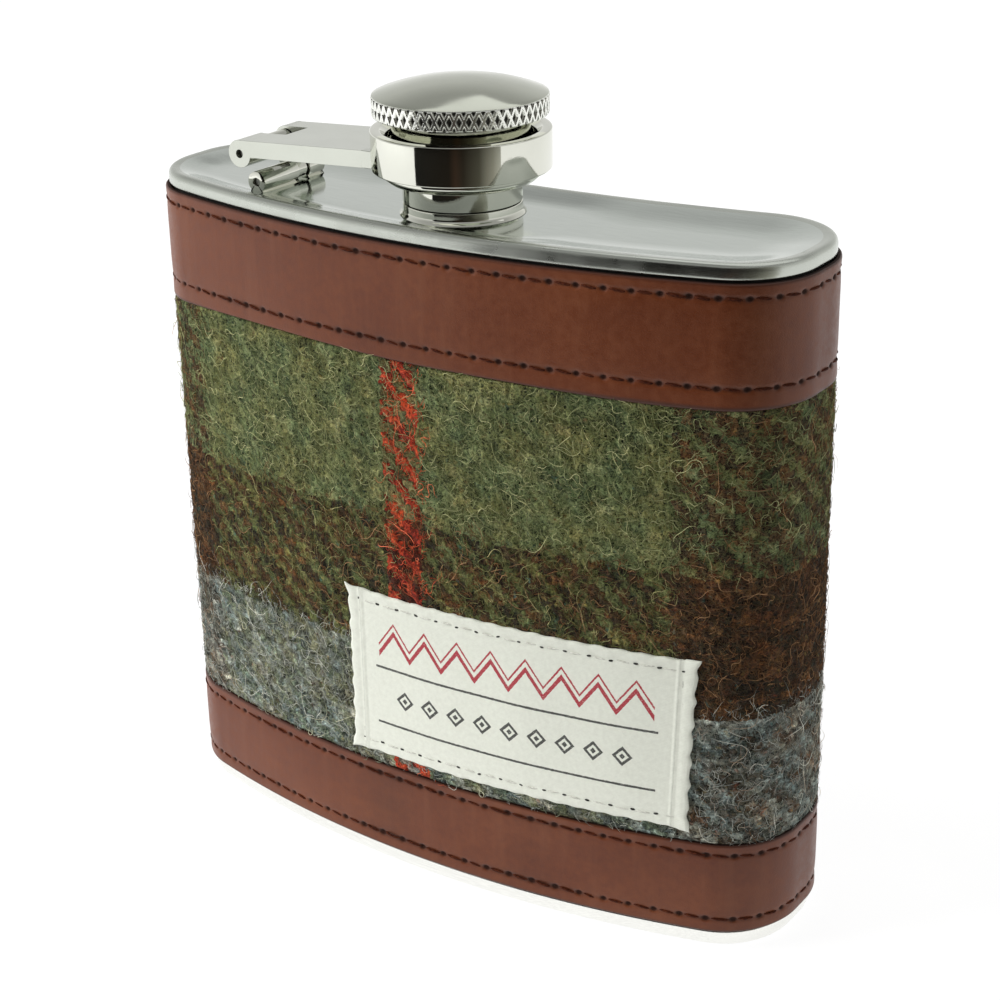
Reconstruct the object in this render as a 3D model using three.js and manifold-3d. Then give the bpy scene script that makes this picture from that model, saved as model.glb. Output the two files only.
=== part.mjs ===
// Hip flask with a captive screw cap, wrapped in leather and tweed.
// Millimetres, +Z up. The flask stands on its base at z = 0, its wide convex face towards -Y.
// The neck stands on the plan's own axis, so the whole assembly is shifted in Y until the
// origin is under the middle of the bounding box.
import * as THREE from "three";
import Module from "manifold-3d";

const wasm = await Module();
wasm.setup();

// Plan outline, described about the neck axis: a kidney of four large and four corner arcs.
const HALF_WIDTH = 47.5;
const FRONT_Y = -13.05; // middle of the convex front
const FRONT_RADIUS = 150.4;
const BACK_Y = 12.24; // middle of the hollow back
const BACK_RADIUS = 199.8;
const FRONT_CORNER = 10.55;
const BACK_CORNER = 10.23;
const ARC_STEPS = 10;
const CORNER_STEPS = 8;

// Heights
const PLATE_Z = 90; // field of the top plate
const BEAD = 1.0; // rounded rim of the top plate above its field
const PLATE_RIM_LOW = -0.8; // lower edge of the rim, from the field
const BAND_TOP_HIGH = -1.13; // leather and cloth edges, from the field
const BAND_TOP_LOW = -16.1;
const BAND_BOTTOM_HIGH = -74.2;
const BAND_BOTTOM_LOW = -87.0;

// Layers of the wall, as offsets from the plate's outline (positive is outwards)
const SHELL_OUT = -1.5;
const SHELL_IN = -2.3;
const LINING_IN = -1.4;
const LINING_OUT = -0.7;
const CLOTH_IN = -0.6;
const CLOTH_UNDER = -0.1; // where a leather band lies over the cloth
const CLOTH_OUT = 0.25;
const LEATHER_OUT = 0.55;
const LABEL_IN = 0.3;
const LABEL_OUT = 0.75;

// Label on the front
const LABEL_LEFT = -10.6;
const LABEL_RIGHT = 38.6;
const LABEL_TOP = -48.7;
const LABEL_BOTTOM = -72.4;

// Neck and spout, from the field
const NECK_RADIUS = 7.5;
const SPOUT_BORE = 5.0;
const SPOUT_RADIUS = 5.75;
const THREAD_CREST = 6.2;
const THREAD_PITCH = 1.6;
const THREAD_TURNS = 2.6;
const SPOUT_TOP = 8.0;
const COLLAR_TOP = 1.5;

// Cap, from the field
const KNOB_RADIUS = 10.95;
const KNURL_LOW = 12.25;
const KNURL_HIGH = 14.78;
const DOME_TOP = 16.86;
const KNURL_DIAMONDS = 48;
const KNURL_DEPTH = 0.32;
const SHANK_RADIUS = 8.6;
const CUP_BORE = 7.0;
const CUP_LOW = 1.62;
const RETAINER_RADIUS = 10.0;
const RETAINER_LOW = 4.2;
const RETAINER_HIGH = 5.5;

// Captive ring, arm and double hinge, from the field
const RING_RADIUS = 11.24;
const RING_BORE = 9.35;
const RING_LOW = 5.66;
const RING_HIGH = 10.55;
const ARM_HALF = 6.3;
const ARM_END_X = -10.35;
const ARM_TOP_AT_RING = 7.65;
const ARM_THICK = 2.2;
const NOTCH_Y = [-1.5, 3.1];
const NOTCH_END_X = -26.7;
const UPPER_PIN = [-30.6, 4.85];
const LOWER_PIN = [-28.1, 1.4];
const ARM_KNUCKLE = 1.8;
const LINK_UPPER_Y = [-1.3, 2.9];
const LINK_TONGUE_Y = [1.2, 2.9];
const LINK_UPPER_KNUCKLE = 1.4;
const LINK_LOWER_KNUCKLE = 1.1;
const SLOT_Y = [1.0, 3.1];
const BARREL_RADIUS = 1.4;
const BARREL_HALF = 6.25;
const PIN_RADIUS = 0.5;
const PIN_HOLE = 0.55;

// Centre of the bounding box: front of the label to the back of the rear corners
const CORNER_X = HALF_WIDTH - BACK_CORNER;
const BACK_CORNER_Y = BACK_Y + BACK_RADIUS
  - Math.sqrt((BACK_RADIUS + BACK_CORNER) ** 2 - CORNER_X ** 2);
const SHIFT_Y = -(FRONT_Y - LABEL_OUT + BACK_CORNER_Y + BACK_CORNER + LEATHER_OUT) / 2;

const steel = { color: 0xb9bcbd, metalness: 1, roughness: 0.35 };
const polished = { color: 0xd6d6d2, metalness: 1, roughness: 0.08 };
const leather = { color: 0x6d4632, metalness: 0, roughness: 0.5 };
const cloth = { color: 0x6b6a3d, metalness: 0, roughness: 0.95 };
const core = { color: 0x141312, metalness: 0, roughness: 0.8 };
const woven = { color: 0xe6e2da, metalness: 0, roughness: 0.9 };
const rubber = { color: 0x2b2b2a, metalness: 0, roughness: 0.7 };

const flask = new THREE.Group();
flask.name = "hip_flask";
const assembly = new THREE.Group();
assembly.position.set(0, SHIFT_Y, 0);
flask.add(assembly);

function addPart(name, geometry, look) {
  const mesh = new THREE.Mesh(geometry, new THREE.MeshStandardMaterial(look));
  mesh.name = name;
  assembly.add(mesh);
}

const onArc = (centre, radius, angle) => [
  centre[0] + radius * Math.cos(angle),
  centre[1] + radius * Math.sin(angle),
];

function arcPoints(centre, radius, from, to, steps) {
  const points = [];
  for (let i = 0; i <= steps; i++)
    points.push(onArc(centre, radius, from + ((to - from) * i) / steps));
  return points;
}

// One loop of the plan outline, counter-clockwise from the middle of the front.
function outline(offset) {
  const frontCentre = [0, FRONT_Y + FRONT_RADIUS];
  const backCentre = [0, BACK_Y + BACK_RADIUS];
  const frontCorner = [HALF_WIDTH - FRONT_CORNER, 0];
  frontCorner[1] = frontCentre[1]
    - Math.sqrt((FRONT_RADIUS - FRONT_CORNER) ** 2 - frontCorner[0] ** 2);
  const backCorner = [CORNER_X, BACK_CORNER_Y];
  const frontEnd = Math.atan2(frontCorner[1] - frontCentre[1], frontCorner[0]);
  const backTurn = Math.atan2(backCentre[1] - backCorner[1], -backCorner[0]);
  const half = [
    ...arcPoints(frontCentre, FRONT_RADIUS + offset, -Math.PI / 2, frontEnd, ARC_STEPS),
    ...arcPoints(frontCorner, FRONT_CORNER + offset, frontEnd, 0, CORNER_STEPS).slice(1),
    ...arcPoints(backCorner, BACK_CORNER + offset, 0, backTurn, CORNER_STEPS),
    ...arcPoints(backCentre, BACK_RADIUS - offset, backTurn - Math.PI, -Math.PI / 2, ARC_STEPS)
      .slice(1),
  ];
  const mirrored = half.slice(1, -1).reverse().map(([x, y]) => [-x, y]);
  return [...half, ...mirrored];
}

function circle(radius, steps) {
  const points = [];
  for (let i = 0; i < steps; i++) {
    const a = (2 * Math.PI * i) / steps;
    points.push([radius * Math.cos(a), radius * Math.sin(a)]);
  }
  return points;
}

// Skins a list of loops of 3-D points. A loop of one point is a pole. With poles at both ends
// the solid is a disc; with none the last loop joins the first and the solid is a ring.
function skin(loops) {
  const positions = [];
  const index = [];
  const starts = loops.map((loop) => {
    const start = positions.length / 3;
    loop.forEach((p) => positions.push(...p));
    return start;
  });
  const reach = (k) => Math.hypot(positions[3 * k], positions[3 * k + 1]);
  const bands = loops[0].length === 1 ? loops.length - 1 : loops.length;
  for (let j = 0; j < bands; j++) {
    const next = (j + 1) % loops.length;
    const steps = Math.max(loops[j].length, loops[next].length);
    for (let i = 0; i < steps; i++) {
      const k = (i + 1) % steps;
      const at = (loop, n) => starts[loop] + (loops[loop].length === 1 ? 0 : n);
      const [a, b, c, d] = [at(j, i), at(j, k), at(next, k), at(next, i)];
      const ridgeAcross = reach(b) + reach(d) > reach(a) + reach(c) + 1e-6;
      const triangles = ridgeAcross ? [[a, b, d], [b, c, d]] : [[a, b, c], [a, c, d]];
      triangles.forEach((t) => {
        if (t[0] !== t[1] && t[1] !== t[2] && t[0] !== t[2]) index.push(...t);
      });
    }
  }
  const geometry = new THREE.BufferGeometry();
  geometry.setAttribute("position", new THREE.Float32BufferAttribute(positions, 3));
  geometry.setIndex(index);
  return geometry;
}

const raise = (points, z) => points.map(([x, y]) => [x, y, PLATE_Z + z]);

// Profile points are [offset from the outline, height from the field]; null is the centre.
function planSolid(profile) {
  return skin(profile.map(([offset, z]) =>
    offset === null ? [[0, 0, PLATE_Z + z]] : raise(outline(offset), z)));
}

// Profile points are [radius, height from the field].
function turned(profile, steps = 56) {
  return skin(profile.map(([r, z]) =>
    r === 0 ? [[0, 0, PLATE_Z + z]] : raise(circle(r, steps), z)));
}

function toSolid(geometry) {
  return new wasm.Manifold(new wasm.Mesh({
    numProp: 3,
    vertProperties: new Float32Array(geometry.attributes.position.array),
    triVerts: new Uint32Array(geometry.index.array),
  }));
}

function toGeometry(solid) {
  const mesh = solid.getMesh();
  const geometry = new THREE.BufferGeometry();
  geometry.setAttribute("position", new THREE.BufferAttribute(mesh.vertProperties, 3));
  geometry.setIndex(new THREE.BufferAttribute(mesh.triVerts, 1));
  return geometry;
}

const box = (x0, x1, y0, y1, z0, z1) =>
  wasm.Manifold.cube([x1 - x0, y1 - y0, z1 - z0]).translate([x0, y0, PLATE_Z + z0]);

// A round bar along Y at [x, height].
const barY = ([x, z], radius, y0, y1, steps = 28) =>
  wasm.Manifold.cylinder(y1 - y0, radius, radius, steps)
    .rotate([-90, 0, 0])
    .translate([x, y0, PLATE_Z + z]);

const upright = (radius, z0, z1, steps = 56) =>
  wasm.Manifold.cylinder(z1 - z0, radius, radius, steps).translate([0, 0, PLATE_Z + z0]);

// Metal body: base dish, shell and top plate
addPart("bottom_plate", planSolid([
  [null, -90], [-2.0, -90], [-1.1, -89.8], [-0.45, -89.35], [-0.1, -88.7], [0, -88.0],
  [0, -87.25], [SHELL_OUT + 0.1, -87.25], [SHELL_OUT + 0.1, -88.55], [null, -88.55],
]), steel);

addPart("body_shell", planSolid([
  [SHELL_OUT, -88.5], [SHELL_OUT, -1.05], [SHELL_IN, -1.05], [SHELL_IN, -88.5],
]), steel);

const plate = toSolid(planSolid([
  [null, -1.0], [-1.0, -1.0], [-0.15, -0.95], [0, PLATE_RIM_LOW], [0, 0.35 * BEAD],
  [-0.18, 0.78 * BEAD], [-0.55, BEAD], [-1.0, 0.95 * BEAD], [-1.6, 0.65 * BEAD],
  [-2.4, 0.3 * BEAD], [-3.4, 0.08 * BEAD], [-4.5, 0], [null, 0],
]));
addPart("top_plate", toGeometry(plate.subtract(upright(SPOUT_RADIUS + 0.1, -2, 1))), steel);

// Wrap: black core, cloth panel, two leather bands and the woven label
addPart("sleeve_lining", planSolid([
  [LINING_OUT, -87.15], [LINING_OUT, -1.1], [LINING_IN, -1.1], [LINING_IN, -87.15],
]), core);

const clothTop = BAND_TOP_LOW - 0.1;
const clothBottom = BAND_BOTTOM_HIGH + 0.1;
addPart("tweed_panel", planSolid([
  [CLOTH_IN, -84.5], [CLOTH_UNDER, -84.5], [CLOTH_UNDER, clothBottom],
  [CLOTH_OUT, clothBottom], [CLOTH_OUT, clothTop], [CLOTH_UNDER, clothTop],
  [CLOTH_UNDER, -3.5], [CLOTH_IN, -3.5],
]), cloth);

// Each band is turned in at its outer edge and lies over the cloth for the rest of its width.
addPart("leather_band_top", planSolid([
  [0, BAND_TOP_LOW], [LEATHER_OUT - 0.2, BAND_TOP_LOW], [LEATHER_OUT, BAND_TOP_LOW + 0.3],
  [LEATHER_OUT, BAND_TOP_HIGH - 0.5], [LEATHER_OUT - 0.15, BAND_TOP_HIGH - 0.12],
  [LEATHER_OUT - 0.45, BAND_TOP_HIGH], [CLOTH_IN, BAND_TOP_HIGH], [CLOTH_IN, -3.4], [0, -3.4],
]), leather);

addPart("leather_band_bottom", planSolid([
  [CLOTH_IN, BAND_BOTTOM_LOW], [LEATHER_OUT - 0.45, BAND_BOTTOM_LOW],
  [LEATHER_OUT - 0.15, BAND_BOTTOM_LOW + 0.12], [LEATHER_OUT, BAND_BOTTOM_LOW + 0.5],
  [LEATHER_OUT, BAND_BOTTOM_HIGH - 0.3], [LEATHER_OUT - 0.2, BAND_BOTTOM_HIGH],
  [0, BAND_BOTTOM_HIGH], [0, -84.6], [CLOTH_IN, -84.6],
]), leather);

function labelSolid() {
  const centre = [0, FRONT_Y + FRONT_RADIUS];
  const angle = (x) => -Math.acos(x / FRONT_RADIUS);
  const steps = 20;
  const arc = (offset) => arcPoints(
    centre, FRONT_RADIUS + offset, angle(LABEL_LEFT), angle(LABEL_RIGHT), steps);
  const back = arc(LABEL_IN);
  const front = arc(LABEL_OUT);
  const loop = [...front, ...back.reverse()];
  const shape = new THREE.Shape(loop.map(([x, y]) => new THREE.Vector2(x, y)));
  const geometry = new THREE.ExtrudeGeometry(shape, {
    depth: LABEL_TOP - LABEL_BOTTOM, bevelEnabled: false,
  });
  geometry.translate(0, 0, PLATE_Z + LABEL_BOTTOM);
  return geometry;
}
addPart("label", labelSolid(), woven);

// Neck: collar on the plate and the threaded spout through it
addPart("neck_collar", turned([
  [SPOUT_RADIUS + 0.1, 0.03], [NECK_RADIUS + 0.15, 0.03], [NECK_RADIUS + 0.15, 0.3],
  [NECK_RADIUS, 0.55], [NECK_RADIUS, COLLAR_TOP - 0.15], [NECK_RADIUS - 0.15, COLLAR_TOP],
  [SPOUT_RADIUS + 0.1, COLLAR_TOP],
]), polished);

// Helical ridge, faded out at both ends.
function threadRidge(zLow) {
  const perTurn = 30;
  const steps = Math.round(THREAD_TURNS * perTurn);
  const root = SPOUT_RADIUS - 0.25;
  const positions = [];
  const index = [];
  for (let i = 0; i <= steps; i++) {
    const a = (2 * Math.PI * i) / perTurn;
    const z = PLATE_Z + zLow + (THREAD_PITCH * i) / perTurn;
    const fade = Math.min(1, i / 6, (steps - i) / 6);
    const crest = SPOUT_RADIUS - 0.1 + (THREAD_CREST - SPOUT_RADIUS + 0.1) * fade;
    [[root, -0.5], [crest, -0.12], [crest, 0.12], [root, 0.5]].forEach(([r, dz]) =>
      positions.push(r * Math.cos(a), r * Math.sin(a), z + dz));
  }
  for (let i = 0; i < steps; i++)
    for (let s = 0; s < 4; s++) {
      const [a, b] = [4 * i + s, 4 * i + ((s + 1) % 4)];
      index.push(a, a + 4, b + 4, a, b + 4, b);
    }
  const last = 4 * steps;
  index.push(0, 1, 2, 0, 2, 3, last, last + 2, last + 1, last, last + 3, last + 2);
  const geometry = new THREE.BufferGeometry();
  geometry.setAttribute("position", new THREE.Float32BufferAttribute(positions, 3));
  geometry.setIndex(index);
  return toSolid(geometry);
}

const spoutTube = toSolid(turned([
  [SPOUT_BORE, -1.9], [7.2, -1.9], [7.2, -1.1], [SPOUT_RADIUS, -1.1],
  [SPOUT_RADIUS, SPOUT_TOP - 0.35], [SPOUT_RADIUS - 0.3, SPOUT_TOP], [SPOUT_BORE, SPOUT_TOP],
], 40));
addPart("spout", toGeometry(spoutTube.add(threadRidge(2.4))), steel);

// Fixed hinge barrels on the plate, with their pin and the link between the two pins
function barrel(y0, y1) {
  const [x] = LOWER_PIN;
  return barY(LOWER_PIN, BARREL_RADIUS, y0, y1)
    .add(box(x - BARREL_RADIUS, x + BARREL_RADIUS, y0, y1, 0.03, LOWER_PIN[1] - 0.4))
    .subtract(box(x - 4, x + 4, y0 - 1, y1 + 1, -2, 0.03))
    .subtract(barY(LOWER_PIN, PIN_HOLE, y0 - 1, y1 + 1, 20));
}
addPart("hinge_barrel_front", toGeometry(barrel(-BARREL_HALF, SLOT_Y[0])), polished);
addPart("hinge_barrel_rear", toGeometry(barrel(SLOT_Y[1], BARREL_HALF)), polished);
addPart("lower_pin", toGeometry(
  barY(LOWER_PIN, PIN_RADIUS, 0.4 - BARREL_HALF, BARREL_HALF - 0.4, 20)), steel);

const tongue = wasm.Manifold.hull([
  barY(UPPER_PIN, LINK_UPPER_KNUCKLE, ...LINK_TONGUE_Y),
  barY(LOWER_PIN, LINK_LOWER_KNUCKLE, ...LINK_TONGUE_Y),
]);
addPart("hinge_link", toGeometry(
  tongue.add(barY(UPPER_PIN, LINK_UPPER_KNUCKLE, ...LINK_UPPER_Y))
    .subtract(barY(UPPER_PIN, PIN_HOLE, -8, 8, 20))
    .subtract(barY(LOWER_PIN, PIN_HOLE, -8, 8, 20))), polished);
addPart("upper_pin", toGeometry(
  barY(UPPER_PIN, PIN_RADIUS, 0.6 - ARM_HALF, ARM_HALF - 0.6, 20)), steel);

// Captive arm and ring
function armSolid() {
  const [px, pz] = UPPER_PIN;
  const left = barY(UPPER_PIN, ARM_KNUCKLE, -ARM_HALF, ARM_HALF, 32);
  const right = box(ARM_END_X - 0.2, ARM_END_X, -ARM_HALF, ARM_HALF,
    ARM_TOP_AT_RING - ARM_THICK, ARM_TOP_AT_RING);
  const top = pz + ARM_KNUCKLE;
  const root = box(px, px + 0.2, -ARM_HALF, ARM_HALF, top - ARM_THICK, top - 0.04);
  return wasm.Manifold.hull([root, right])
    .add(left)
    .subtract(box(px - 4, NOTCH_END_X, ...NOTCH_Y, -1, 12))
    .subtract(barY(UPPER_PIN, PIN_HOLE, -8, 8, 20))
    .subtract(upright(RING_RADIUS + 0.1, 0, 14));
}
addPart("captive_arm", toGeometry(armSolid()), polished);

addPart("captive_ring", turned([
  [RING_BORE, RING_LOW], [RING_RADIUS - 0.2, RING_LOW], [RING_RADIUS, RING_LOW + 0.2],
  [RING_RADIUS, RING_HIGH - 0.25], [RING_RADIUS - 0.25, RING_HIGH],
  [RING_BORE + 0.75, RING_HIGH], [RING_BORE, RING_HIGH - 0.7],
]), polished);

// Cap: knurled knob with its shank, threaded cup, retaining flange and seal
function knobSolid() {
  const steps = 2 * KNURL_DIAMONDS;
  const rows = 4;
  const plain = ([r, z]) => (r === 0 ? [[0, 0, PLATE_Z + z]] : raise(circle(r, steps), z));
  const knurl = [];
  for (let j = 0; j <= rows; j++) {
    const z = KNURL_LOW + 0.15 + ((KNURL_HIGH - KNURL_LOW - 0.3) * j) / rows;
    knurl.push(raise(circle(1, steps).map(([x, y], i) => {
      const r = (i + j) % 2 ? KNOB_RADIUS - KNURL_DEPTH : KNOB_RADIUS;
      return [r * x, r * y];
    }), z));
  }
  const dome = [];
  for (let j = 1; j <= 6; j++) {
    const s = j / 6;
    dome.push([KNOB_RADIUS * 0.985 * (1 - s), KNURL_HIGH + (DOME_TOP - KNURL_HIGH) * (2 * s - s * s)]);
  }
  return skin([
    ...[[0, 10.4], [7.65, 10.4], [7.65, 5.6], [SHANK_RADIUS, 5.6], [SHANK_RADIUS, KNURL_LOW],
      [KNOB_RADIUS - 0.35, KNURL_LOW]].map(plain),
    ...knurl,
    plain([KNOB_RADIUS * 0.985, KNURL_HIGH]),
    ...dome.map(plain),
  ]);
}
addPart("cap_knob", knobSolid(), polished);

addPart("cap_cup", turned([
  [0, 9.4], [CUP_BORE, 9.4], [CUP_BORE, CUP_LOW + 0.3], [CUP_BORE + 0.15, CUP_LOW],
  [NECK_RADIUS - 0.1, CUP_LOW], [NECK_RADIUS, CUP_LOW + 0.15], [NECK_RADIUS, 10.2], [0, 10.2],
], 56), polished);

addPart("cap_retainer", turned([
  [NECK_RADIUS + 0.1, RETAINER_LOW], [RETAINER_RADIUS - 0.45, RETAINER_LOW],
  [RETAINER_RADIUS, RETAINER_LOW + 0.45], [RETAINER_RADIUS, RETAINER_HIGH],
  [NECK_RADIUS + 0.1, RETAINER_HIGH],
], 56), polished);

addPart("cap_seal", turned([
  [0, 8.1], [6.6, 8.1], [6.75, 8.25], [6.75, 9.3], [0, 9.3],
], 40), rubber);

export default flask;
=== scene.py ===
import math

import bmesh
import bpy
import numpy as np
from mathutils import Matrix, Vector


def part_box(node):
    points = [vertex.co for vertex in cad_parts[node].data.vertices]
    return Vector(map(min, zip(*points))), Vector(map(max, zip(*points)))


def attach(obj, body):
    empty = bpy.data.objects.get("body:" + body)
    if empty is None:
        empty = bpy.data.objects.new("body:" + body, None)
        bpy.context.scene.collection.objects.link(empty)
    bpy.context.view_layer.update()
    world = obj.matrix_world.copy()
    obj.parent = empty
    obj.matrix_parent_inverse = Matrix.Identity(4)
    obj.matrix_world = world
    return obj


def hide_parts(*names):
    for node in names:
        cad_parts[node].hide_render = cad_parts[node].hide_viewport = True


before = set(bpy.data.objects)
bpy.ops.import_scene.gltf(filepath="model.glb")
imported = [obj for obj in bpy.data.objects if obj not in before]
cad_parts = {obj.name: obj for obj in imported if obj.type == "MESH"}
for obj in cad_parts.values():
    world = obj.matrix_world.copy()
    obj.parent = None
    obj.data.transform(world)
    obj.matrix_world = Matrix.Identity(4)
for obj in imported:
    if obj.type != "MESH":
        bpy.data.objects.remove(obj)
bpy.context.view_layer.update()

MM = 0.001


def box_mm(node):
    """Lowest and highest corner of a CAD node in millimetres."""
    low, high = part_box(node)
    return np.array(low) / MM, np.array(high) / MM


# ---------------------------------------------------------------------------
# The frame's own places, in millimetres
# ---------------------------------------------------------------------------
collar_low, collar_high = box_mm("neck_collar")
AXIS_Y = (collar_low[1] + collar_high[1]) / 2
FIELD = collar_low[2] - 0.03  # top plate's field

# Plan outline about the neck axis: large and corner arcs.
HALF_WIDTH, FRONT_Y, FRONT_RADIUS = 47.5, -13.05, 150.4
BACK_Y, BACK_RADIUS, FRONT_CORNER, BACK_CORNER = 12.24, 199.8, 10.55, 10.23


def wall_table(step=0.05):
    """Points and outward normals along half the outline, from the middle of the front."""
    fc = np.array([0, FRONT_Y + FRONT_RADIUS])
    bc = np.array([0, BACK_Y + BACK_RADIUS])
    fx, bx = HALF_WIDTH - FRONT_CORNER, HALF_WIDTH - BACK_CORNER
    fcorner = np.array([fx, fc[1] - math.sqrt((FRONT_RADIUS - FRONT_CORNER) ** 2 - fx * fx)])
    bcorner = np.array([bx, bc[1] - math.sqrt((BACK_RADIUS + BACK_CORNER) ** 2 - bx * bx)])
    front_end = math.atan2(fcorner[1] - fc[1], fcorner[0])
    back_turn = math.atan2(bc[1] - bcorner[1], -bcorner[0])
    points, normals = [], []

    def arc(centre, radius, a, b, way):
        n = max(2, int(abs(b - a) * radius / step))
        t = np.linspace(a, b, n)
        direction = np.stack([np.cos(t), np.sin(t)], 1)
        points.append(centre + radius * direction)
        normals.append(way * direction)

    arc(fc, FRONT_RADIUS, -math.pi / 2, front_end, 1)
    arc(fcorner, FRONT_CORNER, front_end, 0, 1)
    arc(bcorner, BACK_CORNER, 0, back_turn, 1)
    arc(bc, BACK_RADIUS, back_turn - math.pi, -math.pi / 2, -1)
    p, n = np.concatenate(points), np.concatenate(normals)
    s = np.concatenate([[0], np.cumsum(np.linalg.norm(np.diff(p, axis=0), axis=1))])
    return s, p, n


WALL_S, WALL_P, WALL_N = wall_table()
HALF_LOOP = float(WALL_S[-1])


def wall(u, offset, z):
    """Places in the row frame, in mm: u along the outline from the middle of the front (towards
    +X), offset outwards from it and z above the field. The three broadcast together."""
    u, offset, z = np.broadcast_arrays(u, offset, z)
    u = (u + HALF_LOOP) % (2 * HALF_LOOP) - HALF_LOOP
    s, side = np.abs(u), np.where(u < 0, -1.0, 1.0)
    x, y = np.interp(s, WALL_S, WALL_P[:, 0]), np.interp(s, WALL_S, WALL_P[:, 1])
    nx, ny = np.interp(s, WALL_S, WALL_N[:, 0]), np.interp(s, WALL_S, WALL_N[:, 1])
    size = np.hypot(nx, ny)
    nx, ny = nx / size, ny / size
    return np.stack([side * (x + offset * nx), y + offset * ny + AXIS_Y, FIELD + z], -1)


def about_neck(radius, angle, z):
    """Places at a radius and angle about the neck axis, z above the field."""
    return np.stack(np.broadcast_arrays(
        radius * np.cos(angle), radius * np.sin(angle) + AXIS_Y, FIELD + z), -1)


def full_turn(steps):
    return np.arange(steps) / steps * 2 * math.pi


def around(step):
    """Evenly spaced u all the way round, without the repeated end."""
    n = int(round(2 * HALF_LOOP / step))
    return (np.arange(n) / n * 2 - 1) * HALF_LOOP


# ---------------------------------------------------------------------------
# Meshes
# ---------------------------------------------------------------------------
def linked(name, data):
    """A new object for the data, in the scene."""
    obj = bpy.data.objects.new(name, data)
    bpy.context.scene.collection.objects.link(obj)
    return obj


def new_object(name, verts, faces, material, marks=None, smooth=True, sharp=None):
    """A mesh object from points in mm and an array of quads (or a list of faces)."""
    me = bpy.data.meshes.new(name)
    if isinstance(faces, np.ndarray):
        me.vertices.add(len(verts))
        me.vertices.foreach_set("co", (np.asarray(verts) * MM).astype(np.float32).ravel())
        me.loops.add(faces.size)
        me.loops.foreach_set("vertex_index", faces.astype(np.int32).ravel())
        me.polygons.add(len(faces))
        me.polygons.foreach_set(
            "loop_start", np.arange(0, faces.size, faces.shape[1], dtype=np.int32))
        me.update(calc_edges=True)
    else:
        me.from_pydata([tuple(v) for v in np.asarray(verts) * MM], [], faces)
    if marks is not None:
        attribute = me.attributes.new("cloth", "FLOAT_VECTOR", "POINT")
        attribute.data.foreach_set("vector", np.asarray(marks, np.float32).ravel())
    if smooth:
        me.shade_smooth()
    if sharp:
        me.set_sharp_from_angle(angle=math.radians(sharp))
    me.materials.append(material)
    return linked(name, me)


def grid_faces(rows, cols, wrap_rows, wrap_cols):
    """Quads between neighbouring rows and columns, with the last joined to the first if wrapped."""
    r = np.arange(rows if wrap_rows else rows - 1)
    c = np.arange(cols if wrap_cols else cols - 1)
    r, c = np.meshgrid(r, c, indexing="ij")
    r2, c2 = (r + 1) % rows, (c + 1) % cols
    quads = np.stack([r * cols + c, r * cols + c2, r2 * cols + c2, r2 * cols + c], -1)
    return quads.reshape(-1, 4)


def grid_object(name, p, material, marks=None, wrap=(False, True), **shading):
    """An object with quads between the rows and columns of the points p."""
    faces = grid_faces(*p.shape[:2], *wrap)
    if marks is not None:
        marks = marks.reshape(-1, 3)
    return new_object(name, p.reshape(-1, 3), faces, material, marks, **shading)


def merged(obj):
    """Joins doubled points and turns all faces outwards."""
    bm = bmesh.new()
    bm.from_mesh(obj.data)
    bmesh.ops.remove_doubles(bm, verts=bm.verts, dist=1e-6)
    bmesh.ops.recalc_face_normals(bm, faces=bm.faces)
    bm.to_mesh(obj.data)
    bm.free()
    return obj


def merged_smooth(obj, sharp):
    """Joins doubled points and shades smooth, but for edges over the given angle."""
    merged(obj)
    obj.data.shade_smooth()
    obj.data.set_sharp_from_angle(angle=math.radians(sharp))
    return obj


def rounded(profile, radius, steps=3):
    """A closed profile with every corner that has a radius rounded off."""
    out = []
    p = [np.array(q, float) for q in profile]
    radii = radius if isinstance(radius, (list, tuple)) else [radius] * len(p)
    for i, q in enumerate(p):
        a, b = p[i - 1] - q, p[(i + 1) % len(p)] - q
        la, lb = np.linalg.norm(a), np.linalg.norm(b)
        r = min(radii[i], 0.45 * la, 0.45 * lb)
        if r < 1e-4:
            out.append(q)
            continue
        start, end = q + a / la * r, q + b / lb * r
        for k in range(steps + 1):
            t = k / steps
            out.append((1 - t) ** 2 * start + 2 * t * (1 - t) * q + t * t * end)
    return np.array(out)


def turned(name, profile, material, steps=128, sharp=35, closed=False):
    """A lathe solid about the neck axis. Points are (radius, height above the field)."""
    profile = np.asarray(profile, float)
    p = about_neck(profile[:, :1], full_turn(steps), profile[:, 1:])
    return merged_smooth(grid_object(name, p, material, wrap=(closed, True)), sharp)


def loft(name, profile, material, step):
    """A closed profile of (offset, height) carried round the outline."""
    profile = np.asarray(profile, float)
    u = around(step)
    p = wall(u, profile[:, :1], profile[:, 1:])
    marks = np.stack(np.broadcast_arrays(u, profile[:, 1:], profile[:, :1]), -1)
    return grid_object(name, p, material, marks, wrap=(True, True), sharp=40)


# ---------------------------------------------------------------------------
# Materials
# ---------------------------------------------------------------------------
def sign(what, swapped=False):
    """A method for an arithmetic sign, which adds the math node of that name."""
    def method(self, other=0.0):
        a, b = (other, self) if swapped else (self, other)
        return self.k.math(what, a, b)
    return method


class Wire:
    """A node's output. Arithmetic and comparisons on it add math nodes."""

    def __init__(self, k, socket):
        self.k, self.socket = k, socket

    __add__, __radd__ = sign("ADD"), sign("ADD", True)
    __sub__, __rsub__ = sign("SUBTRACT"), sign("SUBTRACT", True)
    __mul__, __rmul__ = sign("MULTIPLY"), sign("MULTIPLY", True)
    __truediv__, __mod__, __pow__ = sign("DIVIDE"), sign("MODULO"), sign("POWER")
    __lt__, __gt__, __abs__ = sign("LESS_THAN"), sign("GREATER_THAN"), sign("ABSOLUTE")


def set_stops(ramp, stops):
    """Fills a colour ramp with (place, colour) stops."""
    while len(ramp.elements) < len(stops):
        ramp.elements.new(0.5)
    for element, (at, colour) in zip(ramp.elements, stops):
        element.position = at
        element.color = (*colour, 1)


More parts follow.
